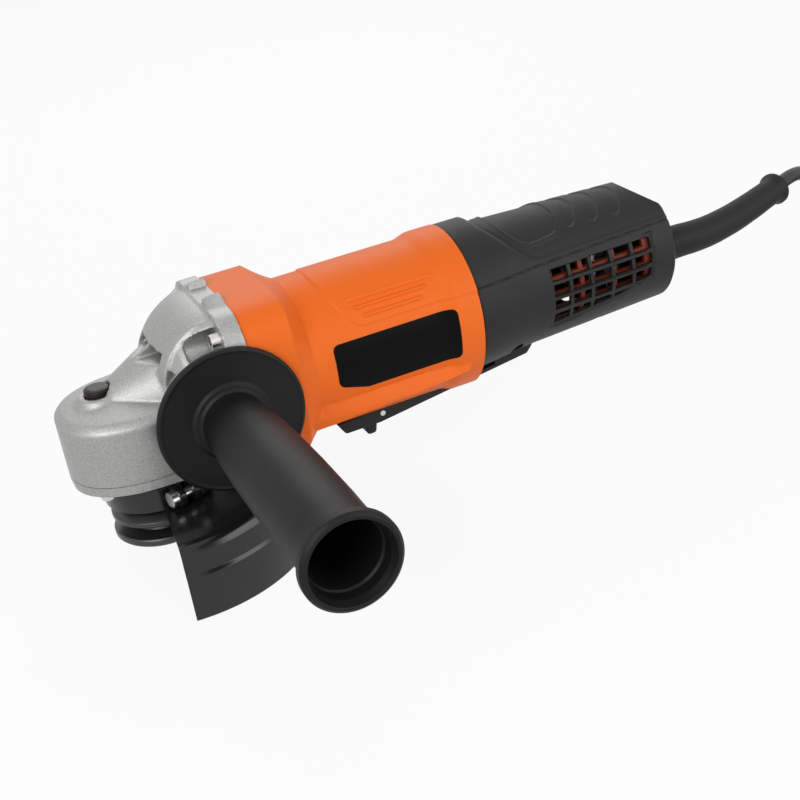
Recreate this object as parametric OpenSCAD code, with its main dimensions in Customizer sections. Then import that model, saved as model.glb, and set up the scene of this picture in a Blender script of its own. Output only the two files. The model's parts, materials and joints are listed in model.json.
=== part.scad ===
// Small paddle-switch angle grinder with its side handle, guard and mains lead.
// Origin: spindle axis at the disc seat of the inner flange. +X runs back along
// the motor axis, -Y is the side that carries the side handle, +Z is up.

/* [Motor and layout] */
// Height of the motor axis above the disc seat
axis_z = 50; // [48:0.5:53]
// Where the gear case meets the motor housing
joint_x = 42.6; // [42:0.1:43.5]
// Where the motor housing meets the rear handle
handle_x = 146.6; // [145:0.1:148]
// Rear face of the rear handle
handle_end_x = 248; // [246:0.5:252]
// Radius of the rear handle behind its collar
handle_r = 31.2; // [30.8:0.1:31.6]
// Radius of the rear handle at its rear end
handle_end_r = 27.9; // [27.4:0.1:28.6]
// Radius of the motor barrel
barrel_r = 31.5; // [31:0.1:33]
// Radius of the collar where the barrel meets the rear handle
collar_r = 33.3; // [33:0.1:34.5]
// Bore that holds the stator
stator_r = 27.6; // [27:0.1:28.4]
// Radius of the armature core
armature_r = 15.5; // [14.5:0.1:15.8]
// Length of the stator and armature cores
core_len = 44; // [38:1:46]
// Radius of the fan
fan_r = 27.5; // [25:0.5:29]
// Number of fan blades
fan_blades = 14; // [8:1:20]

/* [Gear case] */
// Half width of the gear case flange
flange_half = 34.8; // [34:0.1:35.2]
// Half width of the gear case over the crown gear
case_half = 28; // [27:0.5:30]
// Reach of the nose in front of the spindle
nose_x = 33; // [32:0.5:35]
// Distance of the flange screws from the motor axis, along Y and Z
flange_screw_off = 25.5; // [25:0.1:26]
// Number of crown gear teeth
crown_teeth = 37; // [37:1:37]
// Number of pinion teeth
pinion_teeth = 10; // [10:1:10]
// Outer pitch radius of the crown gear
crown_r = 22.5; // [22:0.1:22.8]
// Face width of the gear teeth
tooth_len = 6; // [5:0.5:6]

/* [Spindle and flanges] */
// Thread radius of the spindle
spindle_r = 6.9; // [6.5:0.1:7]
// Radius of the disc pilot on the inner flange
pilot_r = 11; // [11:0.05:11.1]
// Height of the disc pilot
pilot_h = 2.5; // [2:0.1:3]
// Radius of the inner flange
flange_r = 20.7; // [20:0.1:21.5]
// Radius of the lock nut
nut_r = 21.2; // [20:0.1:22]
// Thickness of the lock nut's rim
nut_h = 3.8; // [3:0.1:5]
// Pitch circle of the two spanner holes
spanner_pcd = 30; // [29:0.5:31]
// Radius of a spanner hole
spanner_r = 2.5; // [2.3:0.1:2.7]
// Radius of the lock button
button_r = 5.5; // [5:0.1:5.6]
// How far the spindle axis and the lock button are apart
button_x = 13.6; // [13.4:0.1:13.8]

/* [Guard] */
// Outer radius of the guard
guard_r = 65.1; // [63:0.5:68]
// Sheet thickness of the guard
guard_t = 1.6; // [1.2:0.1:2]
// Depth of the guard below the disc seat
guard_drop = 20; // [18:0.5:20]
// Angle that the guard covers
guard_angle = 194; // [180:2:200]
// Radius of the neck that the guard clamps on
neck_r = 20; // [19.5:0.1:20.5]

/* [Side handle] */
// Place of the side handle axis behind the spindle
side_x = 30; // [29:0.5:31]
// Height of the side handle axis below the motor axis
side_drop = 4; // [3:0.5:5]
// Distance of the far end of the handle from the motor axis
side_end = 161.7; // [150:1:170]
// Radius of the handle's flange disc
disc_r = 31; // [28:0.5:31]
// Radius of the grip at its widest
grip_r = 16.1; // [15:0.1:17.5]
// Radius of the ring at the end of the grip
ring_r = 18.9; // [18:0.1:20]
// Radius of the hollow in the grip
hollow_r = 13.8; // [12:0.1:14]
// Wall radius of the two threaded side holes
side_hole_r = 3.4; // [3.3:0.05:3.5]
// Depth of the threaded side holes
side_hole_len = 14; // [12:1:15]

/* [Paddle and switch] */
// Front end of the paddle
paddle_x = 80; // [78:1:84]
// Half width of the paddle
paddle_half = 14.5; // [13:0.1:14.8]
// Place of the paddle's hinge pin
paddle_pin_x = 200; // [198:1:202]
// Radius of the paddle's hinge pin
paddle_pin_r = 1.5; // [1.2:0.1:1.6]
// Half width of the channel that the paddle moves in
channel_half = 15.7; // [15.4:0.1:16]

/* [Mains lead] */
// Diameter of the lead
lead_d = 7; // [6.5:0.1:7]
// Radius of the lead guard at its root
boot_r = 8; // [7.5:0.1:8.5]
// Mean radius of the coil's turns
coil_r = 37.75; // [37:0.25:38.5]

/* [Clearances] */
// Radial clearance of turning and sliding fits
run = 0.05; // [0.03:0.01:0.08]
// Clearance round pieces that are only placed
ease = 0.1; // [0.05:0.05:0.2]
// Clearance between pieces that move past each other
free = 0.5; // [0.4:0.1:0.8]

/* [Hidden] */
$fn = 64;

// ---- places along the motor axis
flare_end_x = joint_x + 19.4;         // end of the wide front of the housing
barrel_x = flare_end_x + 8;           // start of the round barrel
core_x = barrel_x + 4;                // front face of the stator and armature cores
core_end_x = core_x + core_len;
winding_len = 7.6;                    // overhang of the end windings
comm_x = core_end_x + 10.6;           // commutator
comm_len = 15;
comm_r = 11.5;
front_bearing_x = 28;
front_bearing_w = 10;
front_bearing_r = 16;
rear_bearing_x = handle_x + 2.6;
rear_bearing_w = 7;
rear_bearing_r = 11;
fan_x = joint_x + 4;
fan_w = 12;
baffle_x = fan_x + fan_w + 1.4;
baffle_t = 2;
chamber_r = 30.6;                     // fan chamber
wall = 2.5;                           // housing and handle walls
beyond = 60;                          // past every outline of the housings

// ---- heights, counted from the motor axis
flange_top = 35.5;
flange_corner = 14;
side_seat = flange_half + 0.2;        // face of the bosses for the side handle
case_floor = -28;                     // underside of the gear case and bearing box
plate_t = 4;                          // bearing box plate
shoulder_z = 0.6;                     // where the gear case starts to slope in
chamber_top = -3;                     // roof of the gear chamber
chamber_case_r = crown_r + 2;
channel_z = -29.5;                    // roof of the paddle channel
ledge_front = -19.2;                  // top of the housing's skirt
ledge_rear = -21.2;
skirt_front = -24.7;
skirt_rear = -22.2;

// ---- spindle heights, counted from the disc seat
neck_bottom = 9;
bearing_z = 12;
spindle_bearing_w = 10;
spindle_bearing_r = 16;
spindle_journal_r = 6;
collar_shaft_r = 9;
spindle_top_r = 4;
crown_web_top = 40.5;
crown_hub_bottom = 24.5;
crown_ring_in = crown_r - tooth_len;
pitch_drop = pinion_teeth / crown_teeth; // drop of the pitch cone for each mm of radius
nut_x = 11.6;                         // front end of the armature shaft and its nut
pinion_bore_r = 3.3;
tooth_add = 1;                        // addendum at the outer end
tooth_ded = 1.25;                     // dedendum at the outer end
lock_pin_r = 1.9;
lock_hole_r = 2.3;
lock_holes = 12;
button_top = 61;
button_h = 3.2;
button_travel = 3.5;

// ---- rear handle
collar_end_x = handle_x + 16.4;       // rear edge of the collar over the housing's end
end_edge = 1.4;                       // bevel round the rear face
tail_x = handle_end_x - 11;           // where the top starts to fall to the rear face
tail_fall = 7.8;
seam_rise = 0.018;                    // slope of the seam between the two handle shells
seam_z = 14.2;                        // height of the seam at its front end
vent_x = 182.4;
vent_top = 12.4;
vent_pitch = 7.2;
vent_h = 5.3;
vent_rows = 4;
vent_cols = 5;
vent_step = 10.9;
vent_w = 9.5;

// ---- mains lead: hand-chosen points of the stretch from the lead guard to the coil
lead_r = lead_d / 2;
floor_z = -guard_drop;
lead_out = [336, 14, 46.5];           // mouth of the lead guard
lead_path = [ [344, 18, 46.9], [352, 22, 46.2], [360, 26, 44], [368, 30, 40.2],
    [376, 33.9, 34.7], [384, 37.7, 27.8], [392, 41.4, 19.8], [400, 45, 11.4],
    [408, 48.5, 3.2], [416, 51.8, -4], [424, 54.9, -9.8], [433, 58, -13.8],
    [442, 60.7, -15.6], [452, 63.2, -15.7], [462, 64.5, -15.7],
];
plug_route = [
    [462, -35.5, -8.7], [452, -35.5, -8.9], [442, -35.5, -9.6], [432, -35.5, -10.7],
    [422, -35.5, -11.7], [413, -35.5, -12.4], [404, -35.5, -12.6],
];
coil_centre = [462, 14.5];
coil_gap = 0.8;                       // the tie's band lifts the coil by this much
coil_half = 15.75;                    // half the radial width of the coil
plug_y = -35.5;
plug_z = -12.6;
plug_x = 404;
plug_len = 44;
pin_spacing = 19;
pin_r = 2.4;
pin_len = 19;

// ---------------------------------------------------------------- helpers

// Arc points round a centre, from angle a0 to a1
function arc(c, r, a0, a1, n = 6) =
    [for (i = [0:n]) [c[0] + r * cos(a0 + (a1 - a0) * i / n), c[1] + r * sin(a0 + (a1 - a0) * i / n)]];

// Rounded rectangle from its half width, bottom, top and corner radius
function round_box(half, low, high, r, n = 6) = concat(
    arc([half - r, low + r], r, -90, 0, n), arc([half - r, high - r], r, 0, 90, n),
    arc([r - half, high - r], r, 90, 180, n), arc([r - half, low + r], r, 180, 270, n));

// Extrudes a (y, z) outline along X between two places, about the motor axis
module slab_x(x0, x1) {
    translate([x0, 0, axis_z]) rotate([90, 0, 90]) linear_extrude(x1 - x0) children();
}

// Extrudes an (x, z) outline along Y, z counted from the motor axis
module slab_y(half) {
    translate([0, half, axis_z]) rotate([90, 0, 0]) linear_extrude(2 * half) children();
}

// Cylinder about the motor axis
module axle(x0, x1, r) {
    translate([x0, 0, axis_z]) rotate([0, 90, 0]) cylinder(h = x1 - x0, r = r);
}

// Tube about the motor axis
module axle_tube(x0, x1, r, bore) {
    difference() {
        axle(x0, x1, r);
        axle(x0 - 1, x1 + 1, bore);
    }
}

// Upright cylinder on the spindle axis or at a point
module post(z0, z1, r, at = [0, 0]) {
    translate([at[0], at[1], z0]) cylinder(h = z1 - z0, r = r);
}

// Cylinder along Y between two places
module cross(x, z, y0, y1, r) {
    translate([x, y1, z]) rotate([90, 0, 0]) cylinder(h = y1 - y0, r = r);
}

// Box from its two corners
module box(low, high) {
    translate(low) cube(high - low);
}

// Copies a child to both sides of the middle plane
module both_sides() {
    children();
    mirror([0, 1, 0]) children();
}

// Axis of the four flange screws
module at_flange_screws() {
    for (sy = [-1, 1])
        for (sz = [-1, 1])
            translate([0, sy * flange_screw_off, sz * flange_screw_off]) children();
}

// ---------------------------------------------------------------- gear case

pocket_x = 17;                        // front end of the screw pockets
pocket_boss_r = 9.4;
pocket_boss_off = flange_screw_off - 0.7;
boss_front_z = 22;                    // height of the bosses' sloping top at their front end
cone_x = -12;                         // front end of the cone over the gears
cone_r1 = 9.6;
cone_r2 = flange_half - 0.3;
cone_len = 47.4;
dome_x = 37;                          // middle of the dome behind the vents
dome_z = 3.9;
dome_r = 31.5;
dome_round = 37.2;                    // roundness of the dome seen from the front
dome_half = 19.5;
button_rim = axis_z + 8.3;            // top of the boss round the lock button
button_boss_r = 8.3;
vent_low = 17.5;                      // floor and roof of the exhaust vents
vent_high = 22.4;
vent_half = 14.5;
fin_half = 1.2;
case_screws = [[-22.5, 17], [-22.5, -17], [13, 24.8], [13, -24.8]];
case_screw_r = 2;
case_screw_len = 12;
plate_rear_x = 19;

// Plan outline of the gear case: a round nose that widens to the flange
function nose_half(x) = case_half * pow(1 - pow((5 - x) / (5 + nose_x), 2.4), 1 / 2.4);
function case_plan(inset) = let (
        xs = [for (t = [0:10]) 5 - (5 + nose_x - inset) * sin(9 * t)],
        side = [for (x = xs) [x, max(nose_half(max(x, -nose_x + 0.01)) - inset, 0)]]
    ) concat(
        [[joint_x, -(flange_half - 0.4 - inset)]],
        [for (p = side) [p[0], -p[1]]],
        [for (i = [10:-1:0]) side[i]],
        [[joint_x, flange_half - 0.4 - inset]]);

module case_slab(z0, z1, inset = 0) {
    translate([0, 0, axis_z + z0]) linear_extrude(z1 - z0) polygon(case_plan(inset));
}

// Outline of the bearing box plate
module plate_plan(grow) {
    intersection() {
        polygon(case_plan(0.3 - grow));
        translate([-50, -50]) square([50 + plate_rear_x + grow, 100]);
    }
}

// Places of the two vents, on either side of the fin that carries the dome
module at_vents() {
    both_sides() slab_y_at(fin_half, vent_half) children();
}

// Upper half of the cone that widens from the button to the flange
module case_cone() {
    intersection() {
        translate([cone_x, 0, axis_z]) rotate([0, 90, 0]) cylinder(h = cone_len, r1 = cone_r1, r2 = cone_r2);
        box([cone_x - 1, -flange_half, axis_z], [joint_x, flange_half, axis_z + flange_top]);
    }
}

// Boss of an upper flange screw, with a top that slopes down to the front
module pocket_boss() {
    intersection() {
        translate([pocket_x, pocket_boss_off, axis_z + pocket_boss_off])
            rotate([0, 90, 0]) cylinder(h = joint_x - pocket_x - 1, r = pocket_boss_r);
        slab_y_at(0, 40) polygon([[pocket_x, 0], [pocket_x, boss_front_z],
            [joint_x, boss_front_z + 0.72 * (joint_x - pocket_x)], [joint_x, 0]]);
    }
}

// Dome behind the vents, with a curved front lip
module case_dome() {
    intersection() {
        translate([dome_x, 0, axis_z]) sphere(r = dome_round);
        union() {
            slab_y(vent_half + 0.1) dome_profile(vent_high);
            both_sides() slab_y_at(vent_half, dome_half) dome_profile(vent_low - 5);
        }
    }
}

// Side view of the dome above a height
module dome_profile(low) {
    front = 180 - asin((low - dome_z) / dome_r);
    polygon(concat(arc([dome_x, dome_z], dome_r, 90, front, 12),
        [[joint_x - 2, low], [joint_x - 2, dome_z + dome_r]]));
}

module case_body() {
    difference() {
        union() {
            // lower block: upright walls, a chamfered shoulder and a deck that rises inwards
            difference() {
                hull() {
                    case_slab(case_floor, shoulder_z);
                    case_slab(shoulder_z + 3.2, shoulder_z + 3.3, 3.2);
                    case_slab(shoulder_z + 6.6, shoulder_z + 6.7, 20);
                }
                post(button_rim, button_rim + 9, button_boss_r, [-button_x, 0]);
            }
            case_cone();
            both_sides() pocket_boss();
        }
        // step in front of the dome's lip
        at_vents() translate([-2, vent_low]) square([26, 9]);
    }
    case_dome();
    // rear flange
    slab_x(joint_x - 8.6, joint_x) polygon(round_box(flange_half, -flange_top, flange_top, flange_corner));
    // bosses for the side handle
    both_sides() cross(side_x, axis_z - side_drop, 20, side_seat, 12);
    // tapered boss round the lock button
    translate([-button_x, 0, axis_z])
        cylinder(h = button_rim - axis_z, r1 = button_boss_r + 4.5, r2 = button_boss_r);
}

module gear_case() {
    color("silver") difference() {
        case_body();
        // seat of the bearing box plate
        box([-50, -50, axis_z + case_floor - 1], [plate_rear_x + ease, 50, axis_z + case_floor + plate_t]);
        // gear chamber, pinion tunnel, bearing seat and fan chamber
        post(axis_z + case_floor, axis_z + chamber_top, chamber_case_r);
        axle(10.5, front_bearing_x + 1, 9);
        axle(front_bearing_x, front_bearing_x + front_bearing_w + ease, front_bearing_r + 0.02);
        difference() {
            axle(joint_x - 4.6, joint_x + 1, chamber_r);
            axle(joint_x - 6, joint_x + 2, front_bearing_r + 3);
        }
        axle(front_bearing_x + front_bearing_w, joint_x + 1, 14);
        // seats of the spindle bush and the lock button
        post(axis_z + chamber_top - 1, axis_z + 8, spindle_journal_r + 0.02);
        post(axis_z + chamber_top - 1, button_top, lock_pin_r + run, [-button_x, 0]);
        post(button_top - button_h - button_travel - 0.8, button_top + 9, button_r + 0.3, [-button_x, 0]);
        // exhaust ducts
        at_vents() translate([-2, vent_low]) square([joint_x + 3, vent_high - vent_low]);
        // pockets and holes of the flange screws
        translate([pocket_x, 0, axis_z]) at_flange_screws() {
            rotate([0, 90, 0]) cylinder(h = joint_x - 8.6 - pocket_x, r = 6);
            rotate([0, 90, 0]) cylinder(h = joint_x, r = flange_screw_r + ease);
        }
        both_sides() box([pocket_x, flange_screw_off, axis_z - flange_screw_off - 6],
            [joint_x - 8.6, 40, axis_z - flange_screw_off + 6]);
        // screw holes of the bearing box
        for (p = case_screws)
            post(axis_z + case_floor - 1, axis_z + case_floor + case_screw_len, case_screw_r + run, p);
        // threaded holes for the side handle
        both_sides() cross(side_x, axis_z - side_drop, 35 - side_hole_len, 36, side_hole_r);
    }
}

// Extrudes an (x, z) outline between two places on the +Y side
module slab_y_at(y0, y1) {
    translate([0, y1, axis_z]) rotate([90, 0, 0]) linear_extrude(y1 - y0) children();
}

flange_screw_r = 2.4;
flange_screw_len = 26;

module gear_case_screws() {
    color("gainsboro") translate([joint_x - 8.6, 0, axis_z]) at_flange_screws() difference() {
        union() {
            rotate([0, 90, 0]) cylinder(h = flange_screw_len, r = flange_screw_r);
            rotate([0, -90, 0]) cylinder(h = 3.4, r = 4.4);
        }
        // cross recess
        for (a = [0, 90])
            rotate([a, 0, 0]) translate([-5, -0.5, -2.4]) cube([3.2, 1, 4.8]);
    }
}

module bearing_box() {
    neck_top = axis_z + case_floor;
    color("silver") difference() {
        union() {
            translate([0, 0, neck_top]) linear_extrude(plate_t) plate_plan(0);
            post(neck_bottom, neck_top + 1, neck_r);
            post(neck_top + plate_t - 1, neck_top + plate_t + 1.5, chamber_case_r - ease);
        }
        post(bearing_z, neck_top + plate_t + 2, spindle_bearing_r + 0.02);
        post(neck_bottom - 1, bearing_z + 1, collar_shaft_r + free);
        for (p = case_screws)
            post(neck_top - 1, neck_top + plate_t + 1, case_screw_r + ease, p);
        translate([pocket_x, 0, axis_z]) at_flange_screws() rotate([0, 90, 0]) cylinder(h = 12, r = 6);
    }
}

module bearing_box_screws() {
    head_z = axis_z + case_floor;
    color("gainsboro") for (p = case_screws) difference() {
        union() {
            post(head_z, head_z + case_screw_len - 0.5, case_screw_r, p);
            post(head_z - 2.2, head_z, 3.4, p);
        }
        for (a = [0, 90])
            translate([p[0], p[1], head_z - 2.4]) rotate([0, 0, a])
                translate([-1.8, -0.4, 0]) cube([3.6, 0.8, 1.4]);
    }
}

// Ball bearing as a closed ring with its two shield grooves
module ball_bearing(r, bore, w) {
    rotate_extrude() difference() {
        translate([bore, 0]) square([r - bore, w]);
        for (z = [-0.01, w - 0.49])
            translate([bore + (r - bore) * 0.22, z]) square([(r - bore) * 0.56, 0.5]);
    }
}

module spindle_bearing() {
    color("gray") translate([0, 0, bearing_z])
        ball_bearing(spindle_bearing_r, spindle_journal_r + run, spindle_bearing_w);
}

module spindle_top_bush() {
    color("peru") difference() {
        post(axis_z + chamber_top, axis_z + 8, spindle_journal_r);
        post(axis_z + chamber_top - 1, axis_z + 9, spindle_top_r + run);
    }
}

module front_bearing() {
    color("gray") translate([front_bearing_x, 0, axis_z]) rotate([0, 90, 0])
        ball_bearing(front_bearing_r, 6 + run, front_bearing_w);
}

module rear_bearing() {
    color("gray") translate([rear_bearing_x, 0, axis_z]) rotate([0, 90, 0])
        ball_bearing(rear_bearing_r, 4 + run, rear_bearing_w);
}

// ---------------------------------------------------------------- motor housing

// Round barrel with the flat skirt that shields the paddle
module housing_skin() {
    front = round_box(flange_half, -flange_top, flange_top, flange_corner);
    slab_x(joint_x, flare_end_x) polygon(front);
    hull() {
        slab_x(flare_end_x - 0.5, flare_end_x) polygon(front);
        axle(barrel_x, barrel_x + 0.5, barrel_r);
    }
    axle(barrel_x, handle_x - 10, barrel_r);
    translate([handle_x - 18, 0, axis_z]) rotate([0, 90, 0]) cylinder(h = 8, r1 = barrel_r, r2 = collar_r);
    axle(handle_x - 10, handle_x, collar_r);
    skirt_end = handle_x - 8;
    slab_y(barrel_r - 0.4) polygon([
        [flare_end_x - 1, ledge_front], [flare_end_x - 1, skirt_front],
        [skirt_end, skirt_rear], [skirt_end, ledge_rear]]);
}

// Bearing cup and its four spokes behind the brushes
module bearing_spider() {
    cup_r = rear_bearing_r + wall;
    axle(rear_bearing_x - 1, rear_bearing_x + rear_bearing_w + 2, cup_r);
    for (a = [45:90:315])
        translate([0, 0, axis_z]) rotate([a, 0, 0])
            box([rear_bearing_x - 1, cup_r - 1, -2.5], [rear_bearing_x + rear_bearing_w, stator_r + 1, 2.5]);
    axle_tube(handle_x - 1, handle_x + 10, stator_r + 1.7, stator_r);
}

module motor_housing() {
    color("darkorange") difference() {
        union() {
            difference() {
                housing_skin();
                axle(joint_x - 1, baffle_x, chamber_r);
                axle(baffle_x - 1, baffle_x + baffle_t, chamber_r + 0.3);
                axle(baffle_x, handle_x + 1, stator_r);
                // channel for the paddle
                box([flare_end_x + 6, -channel_half, 0], [handle_x + 20, channel_half, axis_z + channel_z]);
            }
            intersection() {
                bearing_spider();
                axle(handle_x - 2, handle_x + 11, stator_r + 1.7);
            }
        }
        axle(rear_bearing_x - 2, rear_bearing_x + rear_bearing_w + ease, rear_bearing_r + 0.02);
        axle(rear_bearing_x, rear_bearing_x + rear_bearing_w + 3, 5);
        // pilot holes of the gear case screws
        translate([joint_x - 1, 0, axis_z]) at_flange_screws()
            rotate([0, 90, 0]) cylinder(h = flange_screw_len - 6.6, r = flange_screw_r + run);
        both_sides() label_recess();
        // moulded lines above the label
        both_sides() for (i = [0:2])
            cross_line(90 + 3 * i, 128 - 3 * i, 25 - 4.5 * i);
    }
}

// Shallow groove along the barrel at a height above the motor axis
module cross_line(x0, x1, z) {
    y = sqrt(barrel_r * barrel_r - z * z);
    translate([x0, y, axis_z + z]) rotate([0, 90, 0]) cylinder(h = x1 - x0, r = 0.6, $fn = 24);
}

label_x = barrel_x + 8.4;
label_end_x = barrel_x + 65;
label_top = 9.7;
label_low = -13.2;
label_outline = [
    [label_x, label_top], [label_x, label_low + 4.3], [label_x + 13, label_low], [label_end_x, label_low],
    [label_end_x, label_top],
];
label_t = 0.8;
label_sink = 0.5;

// Part of a tube about the motor axis that an outline seen from the side cuts out
module side_patch(r0, r1, grow = 0) {
    intersection() {
        axle_tube(70, 140, r1, r0);
        slab_y_at(20, 40) offset_outline(grow);
    }
}

// The label's outline, scaled about its middle to grow it
module offset_outline(grow) {
    mid = [label_x + label_end_x, label_top + label_low] / 2;
    half = [label_end_x - label_x, label_top - label_low] / 2;
    k = [(half[0] + grow) / half[0], (half[1] + grow) / half[1]];
    polygon([for (p = label_outline) [mid[0] + (p[0] - mid[0]) * k[0], mid[1] + (p[1] - mid[1]) * k[1]]]);
}

module label_recess() {
    side_patch(barrel_r - label_sink, barrel_r + 1, ease);
}

module label_plates() {
    color("black") both_sides() side_patch(barrel_r - label_sink, barrel_r - label_sink + label_t);
}

module fan_baffle() {
    color("dimgray") axle_tube(baffle_x, baffle_x + baffle_t, chamber_r + 0.2, 19);
}

// ---------------------------------------------------------------- stator

// Sector of a tube about the motor axis; angle 0 points along +Y
module sector(x0, x1, r0, r1, a0, a1) {
    translate([x0, 0, axis_z]) rotate([90, 0, 90]) rotate([0, 0, a0])
        rotate_extrude(angle = a1 - a0) translate([r0, 0]) square([r1 - r0, x1 - x0]);
}

stator_bore = armature_r + 0.7;
slot_r = stator_bore + 7.5;
slot_half = 35;                       // half angle of a winding window, from the vertical

module stator_core() {
    color("slategray") difference() {
        axle_tube(core_x, core_end_x, stator_r - 0.1, stator_bore);
        for (a = [90, -90])
            sector(core_x - 1, core_end_x + 1, stator_bore - 1, slot_r, a - slot_half, a + slot_half);
    }
}

// Field coil round one pole: two sides in the windows and an arc at each end
module field_coil() {
    reach = 88;
    side = 90 - slot_half + 1.5;
    for (x = [core_x - winding_len, core_end_x + 0.3])
        sector(x, x + winding_len - 0.3, stator_bore + 1, slot_r - 0.3, -reach, reach);
    for (a = [side, -reach])
        sector(core_x - 0.5, core_end_x + 0.5, stator_bore + 1, slot_r - 0.3, a, a + reach - side);
}

module stator_windings() {
    color("chocolate") {
        field_coil();
        mirror([0, 1, 0]) field_coil();
    }
}

brush_w = 6;
brush_h = 9;
brush_x = comm_x + comm_len / 2;
holder_t = 0.8;

module brush_holders() {
    color("goldenrod") both_sides() difference() {
        intersection() {
            box([brush_x - brush_w / 2 - holder_t, comm_r + 1.5, axis_z - brush_h / 2 - holder_t],
                [brush_x + brush_w / 2 + holder_t, stator_r + 1, axis_z + brush_h / 2 + holder_t]);
            axle(brush_x - 10, brush_x + 10, stator_r - 0.03);
        }
        box([brush_x - brush_w / 2 - 0.05, comm_r, axis_z - brush_h / 2 - 0.05],
            [brush_x + brush_w / 2 + 0.05, stator_r - 2, axis_z + brush_h / 2 + 0.05]);
    }
}

module carbon_brushes() {
    color("dimgray") both_sides()
        box([brush_x - brush_w / 2, comm_r + 0.1, axis_z - brush_h / 2],
            [brush_x + brush_w / 2, comm_r + 9, axis_z + brush_h / 2]);
}

// Helical spring as a closed sleeve of stacked rings
module spring_rings(length, r, wire, turns) {
    pitch = (length - 2 * wire) / (turns - 1);
    rotate_extrude() for (i = [0:turns - 1])
        translate([r, wire + i * pitch]) circle(r = wire, $fn = 16);
    // the wire's climb between rings
    for (i = [0:turns - 2])
        translate([r, 0, wire + i * pitch]) cylinder(h = pitch, r = wire * 0.6, $fn = 16);
}

module brush_springs() {
    spring_len = stator_r - 2 - comm_r - 9;
    color("silver") both_sides() translate([brush_x, comm_r + 9 + spring_len, axis_z]) rotate([90, 0, 0])
        spring_rings(spring_len, 2, 0.4, 4);
}

// ---------------------------------------------------------------- rear handle

function seam_at(x) = seam_z + (x - handle_x) * seam_rise;

// Cone about the motor axis
module axle_cone(x0, x1, r0, r1) {
    translate([x0, 0, axis_z]) rotate([0, 90, 0]) cylinder(h = x1 - x0, r1 = r0, r2 = r1);
}

module handle_solid(inset) {
    end_x = handle_end_x - inset;
    end_r = handle_end_r - inset;
    difference() {
        union() {
            axle_cone(handle_x + 8, end_x - end_edge, handle_r - inset, end_r);
            axle_cone(end_x - end_edge, end_x, end_r, end_r - end_edge);
            // collar over the rear end of the housing
            axle(handle_x + (inset > 0 ? -1 : 0), collar_end_x, collar_r - inset);
            axle_cone(collar_end_x, collar_end_x + 3, collar_r - inset, collar_r - 3 - inset);
        }
        // the top falls to the rear face
        translate([-0.58 * inset, 0, -0.81 * inset]) slab_y(beyond) polygon([[tail_x, handle_end_r + 0.5],
            [tail_x + 22, handle_end_r + 0.5 - 2 * tail_fall], [tail_x + 22, beyond], [tail_x, beyond]]);
    }
}

// Everything above the seam between the two handle shells
module above_seam(gap = 0) {
    x0 = handle_x - 5;
    x1 = handle_end_x + 20;
    slab_y(beyond) polygon([[x0, seam_at(x0) + gap], [x1, seam_at(x1) + gap], [x1, beyond], [x0, beyond]]);
}

handle_screws_at = [[handle_x + 20, 21], [handle_end_x - 36, 14]];
handle_screw_r = 1.6;
screw_head_z = -16.8;
handle_screw_grip = 4;                // reach of a screw into the upper shell
boss_r = 4.2;
cord_exit_z = -8;
groove_x = 51;                        // first finger groove behind the front of the handle
groove_step = 11.2;
groove_r = 1.6;
groove_ring = 30.1;
groove_fall = 0.45;
boot_flange_x = handle_end_x - 9;
boot_neck_r = boot_r - 1.2;

// Room behind the paddle, its hinge arm and its pin
module paddle_room() {
    box([handle_x - 1, -channel_half, 0], [paddle_end_x + 1, channel_half, axis_z - 22]);
    box([paddle_end_x, -8, axis_z - 26.9], [paddle_pin_x + 6, 8, axis_z - 20]);
}

// Window for the air intake: rows and columns of openings inside a slanted outline
module vent_cuts() {
    slab_y(45) intersection() {
        polygon([[vent_x, vent_top], [vent_x + 53.5, vent_top + 0.8], [vent_x + 53.5, -6.5],
            [vent_x + 42, -11], [vent_x + 26, -13.6], [vent_x, -14.5]]);
        for (row = [1:vent_rows], k = [0:vent_cols - 1])
            translate([vent_x + k * vent_step, vent_top + 1 - row * vent_pitch])
                square([vent_w, vent_h]);
    }
}

// Ribs, bosses and beds inside the lower shell, before they are trimmed to its wall
module handle_insides() {
    both_sides() {
        for (p = handle_screws_at) post(axis_z - beyond, axis_z + beyond, boss_r, p);
        box([switch_x, switch_half + ease, 0], [switch_x + switch_len, switch_half + 2, axis_z - 4]);
        box([paddle_pin_x - 4, 8, 0], [paddle_pin_x + 4, 11.5, axis_z + paddle_pin_z + 3.5]);
    }
    box([clamp_x - 6, -13, 0], [clamp_x + 6, 13, axis_z + cord_exit_z - lead_r]);
    box([boot_flange_x - 5, -15, 0], [handle_end_x, 15, axis_z + 12]);
}

module rear_handle_lower() {
    color([0.16, 0.16, 0.17]) difference() {
        union() {
            difference() {
                handle_solid(0);
                handle_solid(wall);
                vent_cuts();
            }
            intersection() {
                handle_solid(1);
                handle_insides();
            }
        }
        above_seam();
        axle(handle_x - 1, handle_x + 10.2, stator_r + 1.75);
        paddle_room();
        cross(paddle_pin_x, axis_z + paddle_pin_z, -11, 11, paddle_pin_r + 0.02);
        both_sides() for (p = handle_screws_at) {
            post(axis_z - beyond, axis_z + beyond, handle_screw_r + ease, p);
            post(axis_z - beyond, axis_z + screw_head_z, 3.1, p);
        }
        for (y = [-9, 9]) post(axis_z - 22, axis_z, 1.25, [clamp_x, y]);
        lead_outlet();
    }
}

// Hole and groove that hold the root of the lead guard
module lead_outlet() {
    translate([0, 0, cord_exit_z]) {
        axle(boot_flange_x - 6, handle_end_x + 10, boot_neck_r + ease);
        axle(boot_flange_x - 3, boot_flange_x + 1.5, boot_r + 1.3);
    }
}

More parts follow.
